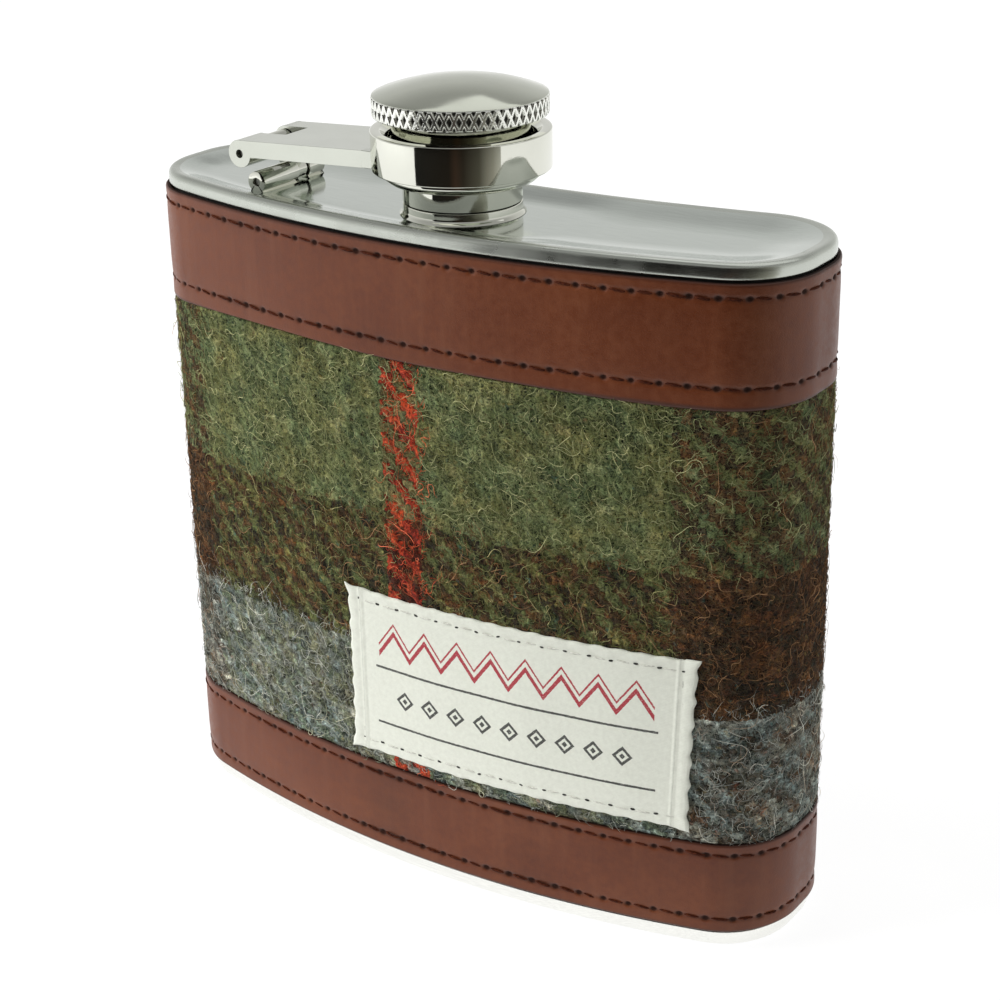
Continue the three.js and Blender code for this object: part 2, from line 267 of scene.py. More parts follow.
class Nodes:
    """Short calls that add nodes to one material and join them up."""

    def __init__(self, name):
        self.m = bpy.data.materials.new(name)
        self.m.use_nodes = True
        self.t = self.m.node_tree
        self.shader = next(n for n in self.t.nodes if n.type == "BSDF_PRINCIPLED")

    def put(self, socket, value):
        if isinstance(value, Wire):
            self.t.links.new(value.socket, socket)
        elif socket.type == "RGBA":
            socket.default_value = (*value, 1) if isinstance(value, tuple) else (value,) * 3 + (1,)
        else:
            socket.default_value = value

    def set(self, **values):
        for key, value in values.items():
            self.put(self.shader.inputs[key.replace("_", " ")], value)

    def add(self, kind, inputs=(), out=0, **settings):
        """Adds a node, fills its inputs (a list, or by place or name) and returns one output."""
        n = self.t.nodes.new("ShaderNode" + kind)
        for key, value in settings.items():
            setattr(n, key, value)
        for key, value in (inputs if isinstance(inputs, dict) else dict(enumerate(inputs))).items():
            self.put(n.inputs[key], value)
        return Wire(self, n.outputs[out])

    def math(self, what, a, b=0.0, clamp=False):
        return self.add("Math", (a, b), operation=what, use_clamp=clamp)

    def floor(self, a):
        return self.math("FLOOR", a)

    def fract(self, a):
        return self.math("FRACT", a)

    def sine(self, a):
        return self.math("SINE", a)

    def most(self, a, b):
        return self.math("MAXIMUM", a, b)

    def least(self, a, b):
        return self.math("MINIMUM", a, b)

    def mix(self, factor, a, b, how="MIX"):
        return self.add("Mix", {0: factor, 6: a, 7: b}, 2, data_type="RGBA", blend_type=how)

    def pick(self, factor, a, b):
        """mix, for plain numbers."""
        return self.split(self.mix(factor, a, b))[0]

    def attribute(self):
        return self.add("Attribute", out="Vector", attribute_name="cloth")

    def place(self):
        return self.add("TexCoord", out="Object")

    def split(self, vector):
        first = self.add("SeparateXYZ", (vector,))
        return [Wire(self, socket) for socket in first.socket.node.outputs]

    def join(self, x, y, z=0.0):
        return self.add("CombineXYZ", (x, y, z))

    def scaled(self, vector, scale):
        return self.add("Mapping", {"Vector": vector, "Scale": scale})

    def added(self, a, b):
        return self.add("VectorMath", (a, b), operation="ADD")

    def noise(self, vector, scale, detail=3.0, rough=0.55, colour=False):
        inputs = {"Vector": vector, "Scale": scale, "Detail": detail, "Roughness": rough}
        return self.add("TexNoise", inputs, 1 if colour else 0)

    def voronoi(self, vector, scale, feature="F1", colour=False):
        return self.add("TexVoronoi", {"Vector": vector, "Scale": scale},
                        "Color" if colour else "Distance", feature=feature)

    def ramp(self, value, low, high, to_low=0.0, to_high=1.0, smooth=True):
        return self.add("MapRange", (value, low, high, to_low, to_high),
                        interpolation_type="SMOOTHSTEP" if smooth else "LINEAR")

    def colours(self, value, stops):
        out = self.add("ValToRGB", (value,))
        set_stops(out.socket.node.color_ramp, stops)
        return out

    def bump(self, height, distance, strength=1.0, normal=None):
        inputs = {"Height": height, "Distance": distance, "Strength": strength}
        if normal is not None:
            inputs["Normal"] = normal
        return self.add("Bump", inputs)


def polished_metal(name, base, rough):
    """Mirror-polished steel with fine hairlines and a little handling haze."""
    k = Nodes(name)
    at = k.place()
    haze = k.noise(at, 90.0, 4.0)
    lines = k.noise(k.scaled(at, (900, 900, 9000)), 1.0, 2.0)
    roughness = k.ramp(haze, 0.35, 0.75, rough * 0.7, rough * 1.9) + lines * (rough * 0.35)
    tone = k.mix(k.ramp(haze, 0.3, 0.7), base, tuple(0.94 * c for c in base))
    k.set(Base_Color=tone, Metallic=1.0, Roughness=roughness,
          Normal=k.bump(lines, 0.000004, 0.35))
    return k.m


def satin_metal(name, base, rough, along=(260, 9000, 9000)):
    """Satin steel: blurred by a fine brushed grain."""
    k = Nodes(name)
    at = k.place()
    grain = k.noise(k.scaled(at, along), 1.0, 3.0)
    cloud = k.noise(at, 60.0, 4.0)
    specks = k.noise(at, 4200.0, 2.0)
    roughness = k.ramp(cloud, 0.3, 0.7, rough * 0.85, rough * 1.15) + (grain - 0.5) * 0.12
    tone = k.mix(k.ramp(grain + cloud * 0.3, 0.35, 0.95), tuple(0.92 * c for c in base),
                 tuple(min(1, 1.05 * c) for c in base))
    normal = k.bump(specks, 0.000004, 0.10, k.bump(grain, 0.000006, 0.12))
    k.set(Base_Color=tone, Metallic=1.0, Roughness=roughness, Normal=normal)
    return k.m


def knurl_metal(name):
    """The knurl: bright crests, with painted shade darkening the pits. cloth.z is 0 in a pit."""
    k = Nodes(name)
    crest = k.split(k.attribute())[2]
    wear = k.noise(k.place(), 2600.0, 3.0)
    # painted shade: level runs from the dark pits up to the bright crests, and the base colour
    # follows it
    level = k.ramp(crest + (wear - 0.5) * 0.25, 0.12, 0.75)
    k.set(Base_Color=k.mix(level, (0.10, 0.095, 0.085), (0.90, 0.91, 0.85)), Metallic=1.0,
          Roughness=k.ramp(crest, 0.0, 1.0, 0.5, 0.22), Normal=k.bump(wear, 0.000008, 0.3))
    return k.m


LEATHERS = [(0.3, (0.094, 0.0215, 0.0066)), (0.5, (0.123, 0.031, 0.0096)),
            (0.72, (0.16, 0.045, 0.0148))]


def leather_material(name, low, high):
    """Smooth dyed leather: pores, fine creases and darker edge paint, with painted shade in the
    stitch channels and a painted highlight along the folds.
    """
    k = Nodes(name)
    u, v, lift = k.split(k.attribute())
    flat = k.join(u, v)
    cloud = k.noise(k.scaled(flat, (0.06, 0.10, 1)), 1.0, 4.0)
    streak = k.noise(k.scaled(flat, (0.45, 0.05, 1)), 1.0, 3.0)
    mottled = k.noise(flat, 0.9, 4.0)
    colour = k.colours(cloud * 0.6 + mottled * 0.4, LEATHERS)
    # painted highlight: lighter colour along the vertical fold streaks
    colour = k.mix(k.ramp(streak, 0.45, 0.8, 0.0, 0.35), colour, (0.170, 0.057, 0.024))
    edge = k.least(v - low, high - v)
    colour = k.mix(k.ramp(edge, 0.0, 0.55, 0.75, 0.0), colour, (0.035, 0.012, 0.008))
    # painted shade: the base colour goes dark in the stitch channels and needle holes
    groove = k.ramp(lift, 0.26, 0.49, 1.0, 0.0)
    colour = k.mix(groove * 0.9, colour, (0.016, 0.005, 0.003))
    pores = k.ramp(k.voronoi(flat, 2.6, "DISTANCE_TO_EDGE"), 0.0, 0.12)
    fine = k.noise(flat, 5.5, 3.0)
    height = pores * 0.55 + fine * 0.45 + streak * 2.2
    roughness = k.ramp(mottled + fine * 0.3, 0.4, 0.9, 0.34, 0.46)
    roughness = k.most(roughness, groove * 0.85)
    k.set(Base_Color=colour, Roughness=roughness, Normal=k.bump(height, 0.00003, 0.40),
          Specular_IOR_Level=0.32)
    return k.m


# The check, in mm: u of the warps from the middle of the front, v of the wefts above the field.
WARP_PERIOD, GREEN_HALF, STRIPE_HALF = 118.0, 37.0, 2.65
WEFT_BROWN, WEFT_BLUE = -36.2, -55.2
THREAD = 1.06  # from one thread to the next

GREENS = [(0.08, (0.040, 0.056, 0.022)), (0.35, (0.118, 0.150, 0.056)),
          (0.60, (0.205, 0.242, 0.096)), (0.92, (0.385, 0.390, 0.190))]
BROWNS = [(0.08, (0.010, 0.004, 0.003)), (0.36, (0.034, 0.012, 0.006)),
          (0.62, (0.090, 0.032, 0.013)), (0.92, (0.260, 0.110, 0.034))]
BLUES = [(0.08, (0.065, 0.078, 0.076)), (0.36, (0.212, 0.240, 0.228)),
         (0.62, (0.365, 0.398, 0.372)), (0.92, (0.600, 0.610, 0.560))]
REDS = [(0.08, (0.170, 0.014, 0.009)), (0.45, (0.600, 0.050, 0.024)), (0.85, (0.830, 0.130, 0.045))]
FLECKS = [(0.0, 0.86, (0.300, 0.190, 0.050)), (31.0, 0.88, (0.050, 0.140, 0.125)),
          (57.0, 0.90, (0.260, 0.055, 0.018)), (83.0, 0.90, (0.020, 0.012, 0.008))]


def check_colours(k, u, v, warp_shade, weft_shade):
    """Warp and weft colour of the cloth at a place in mm."""
    column = (u + (GREEN_HALF + 2 * WARP_PERIOD)) % WARP_PERIOD
    green_warp = column < 2 * GREEN_HALF
    red_warp = abs(column - GREEN_HALF) < STRIPE_HALF
    warp = k.mix(green_warp, k.colours(warp_shade, BROWNS), k.colours(warp_shade, GREENS))
    warp = k.mix(red_warp, warp, k.colours(warp_shade, REDS))
    green, brown = k.colours(weft_shade, GREENS), k.colours(weft_shade, BROWNS)
    brown_weft, blue_weft = v < WEFT_BROWN, v < WEFT_BLUE
    weft = k.mix(blue_weft, k.mix(brown_weft, green, brown), k.colours(weft_shade, BLUES))
    # the coarser brown and blue wefts stand over the green warp and colour it
    plain = green_warp * (1.0 - red_warp)
    hold = k.mix(blue_weft, k.mix(brown_weft, 1.0, (0.90, 0.88, 0.74)), 1.0)
    warp = k.mix(plain, warp, k.mix(1.0, warp, hold, "MULTIPLY"))
    taken = k.pick(blue_weft, k.mix(brown_weft, 0.0, 0.18), 0.45)
    warp = k.mix(taken * plain, warp, weft)
    # and in patches, the blue covers the brown warp too
    brown_warp = (1.0 - green_warp) * blue_weft
    patch = k.ramp(k.noise(k.join(u, v), 0.35, 3.0), 0.36, 0.62, 0.05, 0.75)
    warp = k.mix(brown_warp * patch, warp, weft)
    return warp, weft, red_warp


def tweed_material(name):
    """Two-by-two twill in thick heathered wool, felted so that its fibres cross the threads."""
    k = Nodes(name)
    flat = k.scaled(k.attribute(), (1, 1, 0))
    wander = k.noise(flat, 0.42, 3.0, colour=True)
    shifted = k.added(flat, k.scaled(wander, (1.9, 1.9, 0)))
    fuzz = k.noise(flat, 2.1, 3.0, 0.65, colour=True)
    near_red = k.ramp(abs(k.split(flat)[0]), STRIPE_HALF + 0.3, STRIPE_HALF + 1.3)
    shifted = k.added(shifted, k.mix(near_red, k.scaled(fuzz, (0.30, 0.30, 0)),
                                     k.scaled(fuzz, (0.85, 0.85, 0))))
    u, v, _ = k.split(shifted)
    i, j = u / THREAD, v / THREAD
    fi, fj = k.floor(i), k.floor(j)
    quarter = (fi + fj + 400.0) * 0.25
    warp_top = k.fract(quarter) < 0.49
    float_index = k.floor(quarter)

    def own_shade(thread, seed):
        at = k.join(thread, float_index, seed)
        return k.add("TexWhiteNoise", {"Vector": at}, "Value", noise_dimensions="3D")

    def nub(along, middle, across):
        """Height of one float, 0 at its rim and 1 on its crown, leaning with the yarn's twist."""
        turn = k.fract((along + 400.0) * 0.25)
        far = turn * 4.0 - middle
        near = k.fract(across) * 2.0 - 1.0 + far * 0.3
        round_off = abs(far) ** 3.0 + abs(near) ** 2.0
        return k.math("SUBTRACT", 1.0, round_off * 0.75, clamp=True)

    crown = k.pick(warp_top, nub(i + fj, 3.0, j), nub(fi + j, 1.0, i))
    heather = k.noise(flat, 3.6, 4.0, 0.75)
    mottle = k.noise(flat, 0.30, 3.0)
    common = (heather - 0.5) * 1.3 + (mottle - 0.5) * 0.6
    warp_shade = k.ramp(own_shade(fi, 3.0), 0, 1, 0.26, 0.74, smooth=False) + common
    weft_shade = k.ramp(own_shade(fj, 8.0), 0, 1, 0.16, 0.78, smooth=False) + common
    warp, weft, red = check_colours(k, u, v, warp_shade, weft_shade)
    soft = k.ramp(k.noise(flat, 1.7, 4.0, 0.7), 0.32, 0.56, 0.45, 1.0)
    blend = k.mix(soft, k.mix(0.5, warp, weft), k.mix(warp_top, weft, warp))
    colour = k.mix(red, blend, k.mix(warp_top, k.mix(0.12, weft, warp), warp))
    # flecks of other wools
    for seed, share, fleck_colour in FLECKS:
        at = k.added(shifted, k.join(seed, seed))
        chosen = k.split(k.voronoi(at, 1.15, colour=True))[0] > share
        near = k.ramp(k.voronoi(at, 1.15), 0.1, 0.5, 0.70, 0.0) * k.pick(red, 1.0, 0.2)
        colour = k.mix(chosen * near, colour, fleck_colour)
    # painted shade: each thread is darkened where it dives under, in the felt's pits and in
    # scattered specks
    dive_shade = k.ramp(crown, 0.0, 0.55, 0.30, 1.0)
    pits = k.ramp(k.noise(flat, 1.45, 5.0, 0.75), 0.36, 0.54, 0.38, 1.0)
    specks = k.ramp(k.noise(flat, 2.7, 2.0, 0.5), 0.36, 0.47, 0.40, 1.0)
    shade = dive_shade * (pits * specks)
    # each nub gets its own random tone, and painted shade darkens it towards its edge
    cell = k.split(k.voronoi(shifted, 1.05, colour=True))[1]
    rim = k.ramp(k.voronoi(shifted, 1.05), 0.28, 0.62, 1.0, 0.50)
    coarse = v < WEFT_BROWN
    low = k.pick(coarse, 0.66, 0.2)
    high = k.pick(coarse, 1.34, 2.75)
    knots = k.ramp(cell, 0.1, 0.9, low, high) * rim
    shade = shade * k.pick(red, knots, 1.0)
    colour = k.mix(1.0, colour, shade, "MULTIPLY")

    # crossing fibres: thin curling lines where a noise passes through a level
    def strands(scale, level, width, seed):
        at = k.added(flat, k.join(seed, -seed))
        sway = k.noise(at, scale * 1.9, 2.0, colour=True)
        bent = k.added(at, k.scaled(sway, (0.9 / scale, 0.9 / scale, 0)))
        off = abs(k.noise(bent, scale, 1.0) - level)
        return k.ramp(off, width * 0.35, width, 1.0, 0.0)

    one, two = strands(0.95, 0.50, 0.036, 0.0), strands(1.5, 0.47, 0.056, 40.0)
    three = strands(2.3, 0.52, 0.085, 90.0)
    here = k.ramp(k.noise(flat, 0.22, 2.0), 0.30, 0.6, 0.55, 1.0)
    lines = k.most(one, k.most(two * 0.8, three * 0.6)) * here
    paler = k.mix(0.30, k.mix(1.0, blend, (1.75, 1.65, 1.55), "MULTIPLY"), (0.300, 0.290, 0.150))
    showing = k.pick(red, k.mix(coarse, 0.82, 0.48), 0.15)
    colour = k.mix(lines * showing, colour, paler)
    hue = k.ramp(k.noise(flat, 0.16, 3.0), 0.36, 0.64)
    colour = k.mix(1.0, colour, k.mix(hue, (0.88, 1.02, 1.06), (1.12, 1.02, 0.88)), "MULTIPLY")
    height = shade * 1.2 + lines * 0.8 + heather * 0.8
    k.set(Base_Color=colour, Roughness=0.95, Normal=k.bump(height, 0.00030, 0.9),
          Sheen_Weight=0.06, Sheen_Roughness=0.5, Specular_IOR_Level=0.10)
    return k.m


def fuzz_material(name, pale):
    """Loose fibres: the cloth's own colours, paler."""
    k = Nodes(name)
    u, v, odd = k.split(k.attribute())
    shade = k.ramp(odd, 0.0, 1.0, 0.35, 0.95, smooth=False)
    warp, weft, _ = check_colours(k, u, v, shade, shade)
    colour = k.mix(k.fract(odd * 7.3) > 0.5, warp, weft)
    light = k.mix(0.38, k.mix(1.0, colour, (2.6, 2.5, 2.4), "MULTIPLY"), (0.43, 0.43, 0.31))
    colour = k.mix(k.ramp(odd, 0.45, 1.0, pale * 0.25, pale), colour, light)
    tint = k.noise(k.place(), 900.0, 2.0)
    duller = k.mix(0.5, colour, (0.10, 0.09, 0.05))
    colour = k.mix(k.ramp(tint, 0.3, 0.7, 0.0, 0.3), colour, duller)
    k.set(Base_Color=colour, Roughness=0.85, Normal=k.bump(tint, 0.00002, 0.4),
          Specular_IOR_Level=0.15)
    return k.m


def label_material(name, left, right, low, high):
    """White damask ribbon with a plain woven motif: rules, a zigzag and small lozenges."""
    k = Nodes(name)
    marks = k.attribute()
    jitter = k.scaled(k.noise(marks, 3.0, 2.0, colour=True), (0.16, 0.16, 0))
    u, v, _ = k.split(k.added(marks, jitter))
    x, y = u - (left + right) / 2, v - (low + high) / 2
    ax = abs(x)
    ribs = abs(k.sine(v * (2 * math.pi / 0.42)))
    threads = abs(k.sine(u * (2 * math.pi / 0.36)))
    tone = k.noise(marks, 1.6, 4.0)
    ground = k.colours(tone, [(0.3, (0.685, 0.70, 0.615)), (0.7, (0.755, 0.775, 0.685))])
    # painted shade: the ground is darkened in the grooves between the ribs
    ground = k.mix(k.ramp(ribs, 0.0, 0.6, 0.16, 0.0), ground, (0.46, 0.46, 0.40))

    def inside(value, half, reach):
        """1 within half of value's zero, as far out as reach from the label's middle."""
        return (abs(value) < half) * (ax < reach)

    broken = ribs + k.noise(marks, 5.0, 2.0) > 0.5
    # zigzag in the upper half
    wave = k.math("PINGPONG", x + 60.0, 2.5)
    zig = y - 3.3 - wave * 1.35
    zigzags = k.most(inside(zig, 0.42, 20.0), inside(zig - 1.35, 0.2, 20.0))
    colour = k.mix(zigzags * broken * 0.96, ground, (0.36, 0.006, 0.024))
    # rules and lozenges below
    rules = k.most(inside(y - 1.35, 0.16, 20.6), inside(y + 6.9, 0.16, 20.6))
    from_centre = abs((x + 62.0) % 4.0 - 2.0) + abs(y + 2.8)
    lozenges = k.most(inside(from_centre - 1.15, 0.26, 18.0), inside(from_centre, 0.42, 18.0))
    black = k.most(rules, lozenges)
    colour = k.mix(black * broken * 0.93, colour, (0.012, 0.012, 0.012))
    # the hems are a double layer, with a painted shadow line at their inner edge
    hem = ax - ((right - left) / 2 - 2.1)
    colour = k.mix(k.ramp(abs(hem), 0.0, 0.22, 0.35, 0.0), colour, (0.3, 0.3, 0.26))
    height = ribs * 0.6 + threads * 0.4
    k.set(Base_Color=colour, Roughness=0.62, Normal=k.bump(height, 0.00004, 0.45),
          Sheen_Weight=0.10, Specular_IOR_Level=0.30)
    return k.m


def thread_material(name, dark, light):
    """Waxed sewing thread with its twist."""
    k = Nodes(name)
    at = k.place()
    twist = k.noise(k.scaled(at, (2500, 2500, 6000)), 1.0, 2.0)
    k.set(Base_Color=k.mix(k.ramp(twist, 0.35, 0.7), dark, light), Roughness=0.7,
          Normal=k.bump(twist, 0.00006, 0.6), Specular_IOR_Level=0.06)
    return k.m


def dull_material(name, dark, light, rough, scale):
    """Plain grainy stuff, between two tones."""
    k = Nodes(name)
    grain = k.noise(k.place(), scale, 4.0)
    k.set(Base_Color=k.mix(k.ramp(grain, 0.3, 0.7), dark, light), Roughness=rough,
          Normal=k.bump(grain, 0.00004, 0.5))
    return k.m


CHROME = polished_metal("polished_steel", (0.735, 0.742, 0.665), 0.045)
DOME = polished_metal("dome_steel", (0.57, 0.59, 0.51), 0.11)
ARM_STEEL = polished_metal("arm_steel", (0.60, 0.62, 0.555), 0.10)
KNURL = knurl_metal("knurled_steel")
RIM = polished_metal("rim_steel", (0.53, 0.555, 0.505), 0.21)
SATIN = satin_metal("satin_steel", (0.60, 0.64, 0.60), 0.11)
BASE_STEEL = satin_metal("base_steel", (0.90, 0.90, 0.86), 0.20)
BRUSHED = satin_metal("spout_steel", (0.62, 0.63, 0.60), 0.30, (9000, 9000, 260))
DARK_PIN = satin_metal("pin_steel", (0.32, 0.32, 0.30), 0.35)
RUBBER = dull_material("seal_rubber", (0.018, 0.018, 0.018), (0.035, 0.035, 0.034), 0.6, 900)
CORE = dull_material("black_core", (0.010, 0.010, 0.009), (0.022, 0.020, 0.018), 0.75, 1500)


def finish_piece(obj, body, nodes):
    """Says which body carries the piece, which CAD nodes it replaces."""
    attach(obj, body)
    if nodes:
        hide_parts(*nodes)
    return obj


# ---------------------------------------------------------------------------
# Metal body
# ---------------------------------------------------------------------------
def plate_mesh(name, profile, hole, materials, split_offset=0.0, stretch=0.0):
    """A plate over the whole plan. The profile's (offset, height) points run from the underside's
    middle out and round to the top's middle; the middle is closed, or open to a round hole.
    Faces outside split_offset have the second material. stretch draws the inner slope out, away
    from the collar and the hinge."""
    profile = np.asarray(profile, float)
    u = around(0.9)
    at_wall = wall(u, 0, 0)
    # nothing is drawn out within 11 mm of the neck, or at the front on the hinge's side
    clear = np.clip((np.abs(at_wall[:, 0]) - 11) / 9, 0, 1)
    open_side = np.clip(np.maximum(at_wall[:, 0] / 10, (at_wall[:, 1] - AXIS_Y - 2) / 5), 0, 1)
    reach = 1 + stretch * clear ** 2 * (3 - 2 * clear) * open_side
    crest = -1.1
    rings = [wall(u, np.where(o < crest, crest + (o - crest) * reach, o), z) for o, z in profile]

    def towards_middle(ring, z, count):
        a = np.arctan2(ring[:, 1] - AXIS_Y, ring[:, 0])
        inner = about_neck(hole or 0.0, a, z)
        return [ring * (1 - t) + inner * t for t in np.arange(1, count + 1) / count]

    below = towards_middle(rings[0], profile[0, 1], 6)[::-1]
    above = towards_middle(rings[-1], profile[-1, 1], 14)
    obj = grid_object(name, np.array(below + rings + above), materials[0], wrap=(bool(hole), True))
    if len(materials) > 1:
        obj.data.materials.append(materials[1])
        row = np.repeat(np.arange(len(obj.data.polygons) // len(u)), len(u))
        on_rim = np.maximum(profile[:-1, 0], profile[1:, 0]) > split_offset
        rim_rows = len(below) + np.flatnonzero(on_rim)
        obj.data.polygons.foreach_set("material_index", np.isin(row, rim_rows).astype(np.int32))
    return merged_smooth(obj, 50)


PLATE_PROFILE = [
    (-1.2, -1.0), (-0.5, -1.0), (-0.2, -0.97), (-0.05, -0.88), (0.0, -0.74), (0.02, -0.4),
    (0.02, 0.05), (-0.01, 0.35), (-0.10, 0.62), (-0.26, 0.83), (-0.48, 0.96), (-0.75, 1.0),
    (-1.1, 0.965), (-1.5, 0.885), (-2.0, 0.76), (-2.6, 0.60), (-3.2, 0.43), (-3.8, 0.275),
    (-4.4, 0.15), (-5.0, 0.06), (-5.8, 0.0)]
COLLAR_BORE, RIM_INNER_EDGE, SLOPE_STRETCH = 5.85, -1.35, 0.65
plate = plate_mesh("plate_top", PLATE_PROFILE, COLLAR_BORE, [SATIN, RIM], RIM_INNER_EDGE,
                   SLOPE_STRETCH)
finish_piece(plate, "flask", ["top_plate"])

BASE_PROFILE = [
    (-2.3, -90), (-1.75, -89.96), (-1.25, -89.84), (-0.82, -89.62), (-0.46, -89.30), (-0.2, -88.9),
    (-0.06, -88.4), (0.0, -87.9), (0.0, -87.4), (-0.06, -87.3), (-0.2, -87.25), (-1.35, -87.25),
    (-1.4, -87.3), (-1.4, -88.5)]
base = plate_mesh("plate_base", BASE_PROFILE, None, [BASE_STEEL])
finish_piece(base, "flask", ["bottom_plate"])

SHELL_PROFILE = [(-1.5, -88.5), (-1.5, -1.05), (-2.3, -1.05), (-2.3, -88.5)]
shell = loft("shell", SHELL_PROFILE, BRUSHED, 1.5)
finish_piece(shell, "flask", ["body_shell"])

LINING_PROFILE = [(-0.7, -87.15), (-0.62, -1.02), (-1.4, -1.02), (-1.4, -87.15)]
lining = loft("core_edge", rounded(LINING_PROFILE, 0.12), CORE, 1.2)
finish_piece(lining, "flask", ["sleeve_lining"])

# ---------------------------------------------------------------------------
# Leather bands and their stitching
# ---------------------------------------------------------------------------
def low_high(node):
    """Lowest and highest height of a CAD node above the field, in mm."""
    low, high = box_mm(node)
    return low[2] - FIELD, high[2] - FIELD


def from_seam(u):
    """Distance from the middle of the back, where the bands and the cloth are joined."""
    return np.abs(u % (2 * HALF_LOOP) - HALF_LOOP)


top_low, top_high = low_high("leather_band_top")
bottom_low, bottom_high = low_high("leather_band_bottom")
LEATHER_OUT = 0.55  # from the outline to the leather's face
# heights of the stitch rows, and a whole number of stitches of about 3.4 mm
TOP_ROWS = (top_high - 1.75, top_low + 2.45)
BOTTOM_ROWS = (bottom_high - 1.55, bottom_low + 1.9)
STITCHES_ROUND = int(round(2 * HALF_LOOP / 3.42))
STITCH = 2 * HALF_LOOP / STITCHES_ROUND


def slow_wave(u, seed, size):
    """A smooth closed wander round the outline."""
    r = np.random.default_rng(seed)
    out = np.zeros_like(u)
    for k in range(2, 9):
        a, b = r.normal(size=2) / k
        out += a * np.cos(k * math.pi * u / HALF_LOOP) + b * np.sin(k * math.pi * u / HALF_LOOP)
    return size * out


def band(name, low, high, rows, free_edge, material, seed):
    """A leather band. free_edge is the side that lies over the cloth."""
    u = around(0.25)
    inner = -0.02
    outer_v = np.concatenate([np.arange(low + 0.34, high - 0.34, 0.42), [high - 0.34]]
                             + [row + np.arange(-1.0, 1.01, 0.125) for row in rows])
    outer_v = np.unique(np.round(outer_v, 2))
    profile = [(inner, low + 0.02, 0), (0.22, low, 0), (0.40, low + 0.05, 0), (0.51, low + 0.16, 0)]
    profile += [(LEATHER_OUT, z, 1) for z in outer_v]
    profile += [(0.51, high - 0.16, 0), (0.40, high - 0.05, 0), (0.22, high, 0),
                (inner, high - 0.02, 0)]
    profile = np.array(profile)
    offset = np.repeat(profile[:, :1], len(u), 1)
    v = np.repeat(profile[:, 1:2], len(u), 1)
    open_face = profile[:, 2:] > 0
    # the free edge wanders a little, and the leather swells and thins
    weight = np.clip((v - low) / (high - low), 0, 1)
    v = v + slow_wave(u, seed, 0.16) * (weight if free_edge == "high" else 1 - weight) ** 2
    swell = 0.045 * np.sin(2 * math.pi * (u / 23.0 + seed)) * np.sin(math.pi * weight) ** 0.5
    swell = swell + slow_wave(u, seed + 3, 0.05) * np.sin(math.pi * weight)
    # the thread's pull and its needle holes, and the seam
    dip = 0.30 * np.exp(-(from_seam(u) / 0.22) ** 2) + np.zeros_like(v)
    phase = (u / STITCH) % 1.0
    hole = np.exp(-(np.minimum(phase, 1 - phase) * STITCH / 0.34) ** 2)
    for row in rows:
        d = v - row
        dip += 0.09 * np.exp(-(d / 0.36) ** 2) + 0.30 * hole * np.exp(-(d / 0.34) ** 2)
        dip += 0.06 * np.exp(-(d / 1.2) ** 2)
    offset = offset + np.where(open_face, swell - dip, swell * 0.5)
    marks = np.stack(np.broadcast_arrays(u, v, offset), -1)
    return grid_object(name, wall(u, offset, v), material, marks, wrap=(True, True), sharp=60)


def tubes(name, material, places):
    """One object from many small tubes, each an array of rings by sides by 3."""
    rings, sides = places[0].shape[:2]
    quads = grid_faces(rings, sides, False, True)[:, ::-1]
    faces = [quads + i * rings * sides for i in range(len(places))]
    return new_object(name, np.reshape(places, (-1, 3)), np.concatenate(faces), material)


def stitches(name, rows, material, seed):
    """Threads of a lockstitch: each rises from its hole, lies flat and dives into the next."""
    r = np.random.default_rng(seed)
    t = np.linspace(0, 1, 9)
    a = full_turn(8)
    found = []
    for row in rows:
        for k in range(STITCHES_ROUND):
            start = (k + 0.12) * STITCH
            length = STITCH * (0.74 + 0.05 * r.normal())
            slant = 0.26 + 0.09 * r.normal()
            lift = 0.50 + 0.03 * r.normal()
            uu = start + length * t
            vv = row + slant * (0.5 - t) + 0.03 * r.normal()
            rise = lift - 0.36 * (np.abs(2 * t - 1) ** 3.2)
            thick = 0.140 * (1 - 0.30 * np.abs(2 * t - 1) ** 2) * (1 + 0.08 * r.normal())
            twist = 1 + 0.10 * np.sin(2 * math.pi * 5 * t[:, None] + a)
            dv = thick[:, None] * 1.05 * np.cos(a) * twist
            dn = thick[:, None] * 0.80 * np.sin(a) * twist
            found.append(wall(uu[:, None], rise[:, None] + dn, vv[:, None] + dv))
    return tubes(name, material, found)


LEATHER_TOP = leather_material("leather_top", top_low, top_high)
LEATHER_BOTTOM = leather_material("leather_bottom", bottom_low, bottom_high)
THREAD_BROWN = thread_material("thread_brown", (0.034, 0.0085, 0.005), (0.092, 0.024, 0.011))
band_top = band("band_top", top_low, top_high, TOP_ROWS, "low", LEATHER_TOP, 3)
finish_piece(band_top, "flask", ["leather_band_top"])
band_bottom = band("band_bottom", bottom_low, bottom_high, BOTTOM_ROWS, "high", LEATHER_BOTTOM, 5)
finish_piece(band_bottom, "flask", ["leather_band_bottom"])
for name, rows, seed in (("stitches_top", TOP_ROWS, 11), ("stitches_bottom", BOTTOM_ROWS, 12)):
    finish_piece(stitches(name, rows, THREAD_BROWN, seed), "flask", [])

# ---------------------------------------------------------------------------
# Tweed
# ---------------------------------------------------------------------------
cloth_low, cloth_high = low_high("tweed_panel")
CLOTH_OUT = 0.16  # from the outline to the foot of the weave
TWEED = tweed_material("tweed_wool")
NAP = fuzz_material("tweed_nap_wool", 0.30)
FUZZ = fuzz_material("tweed_fibres", 0.85)


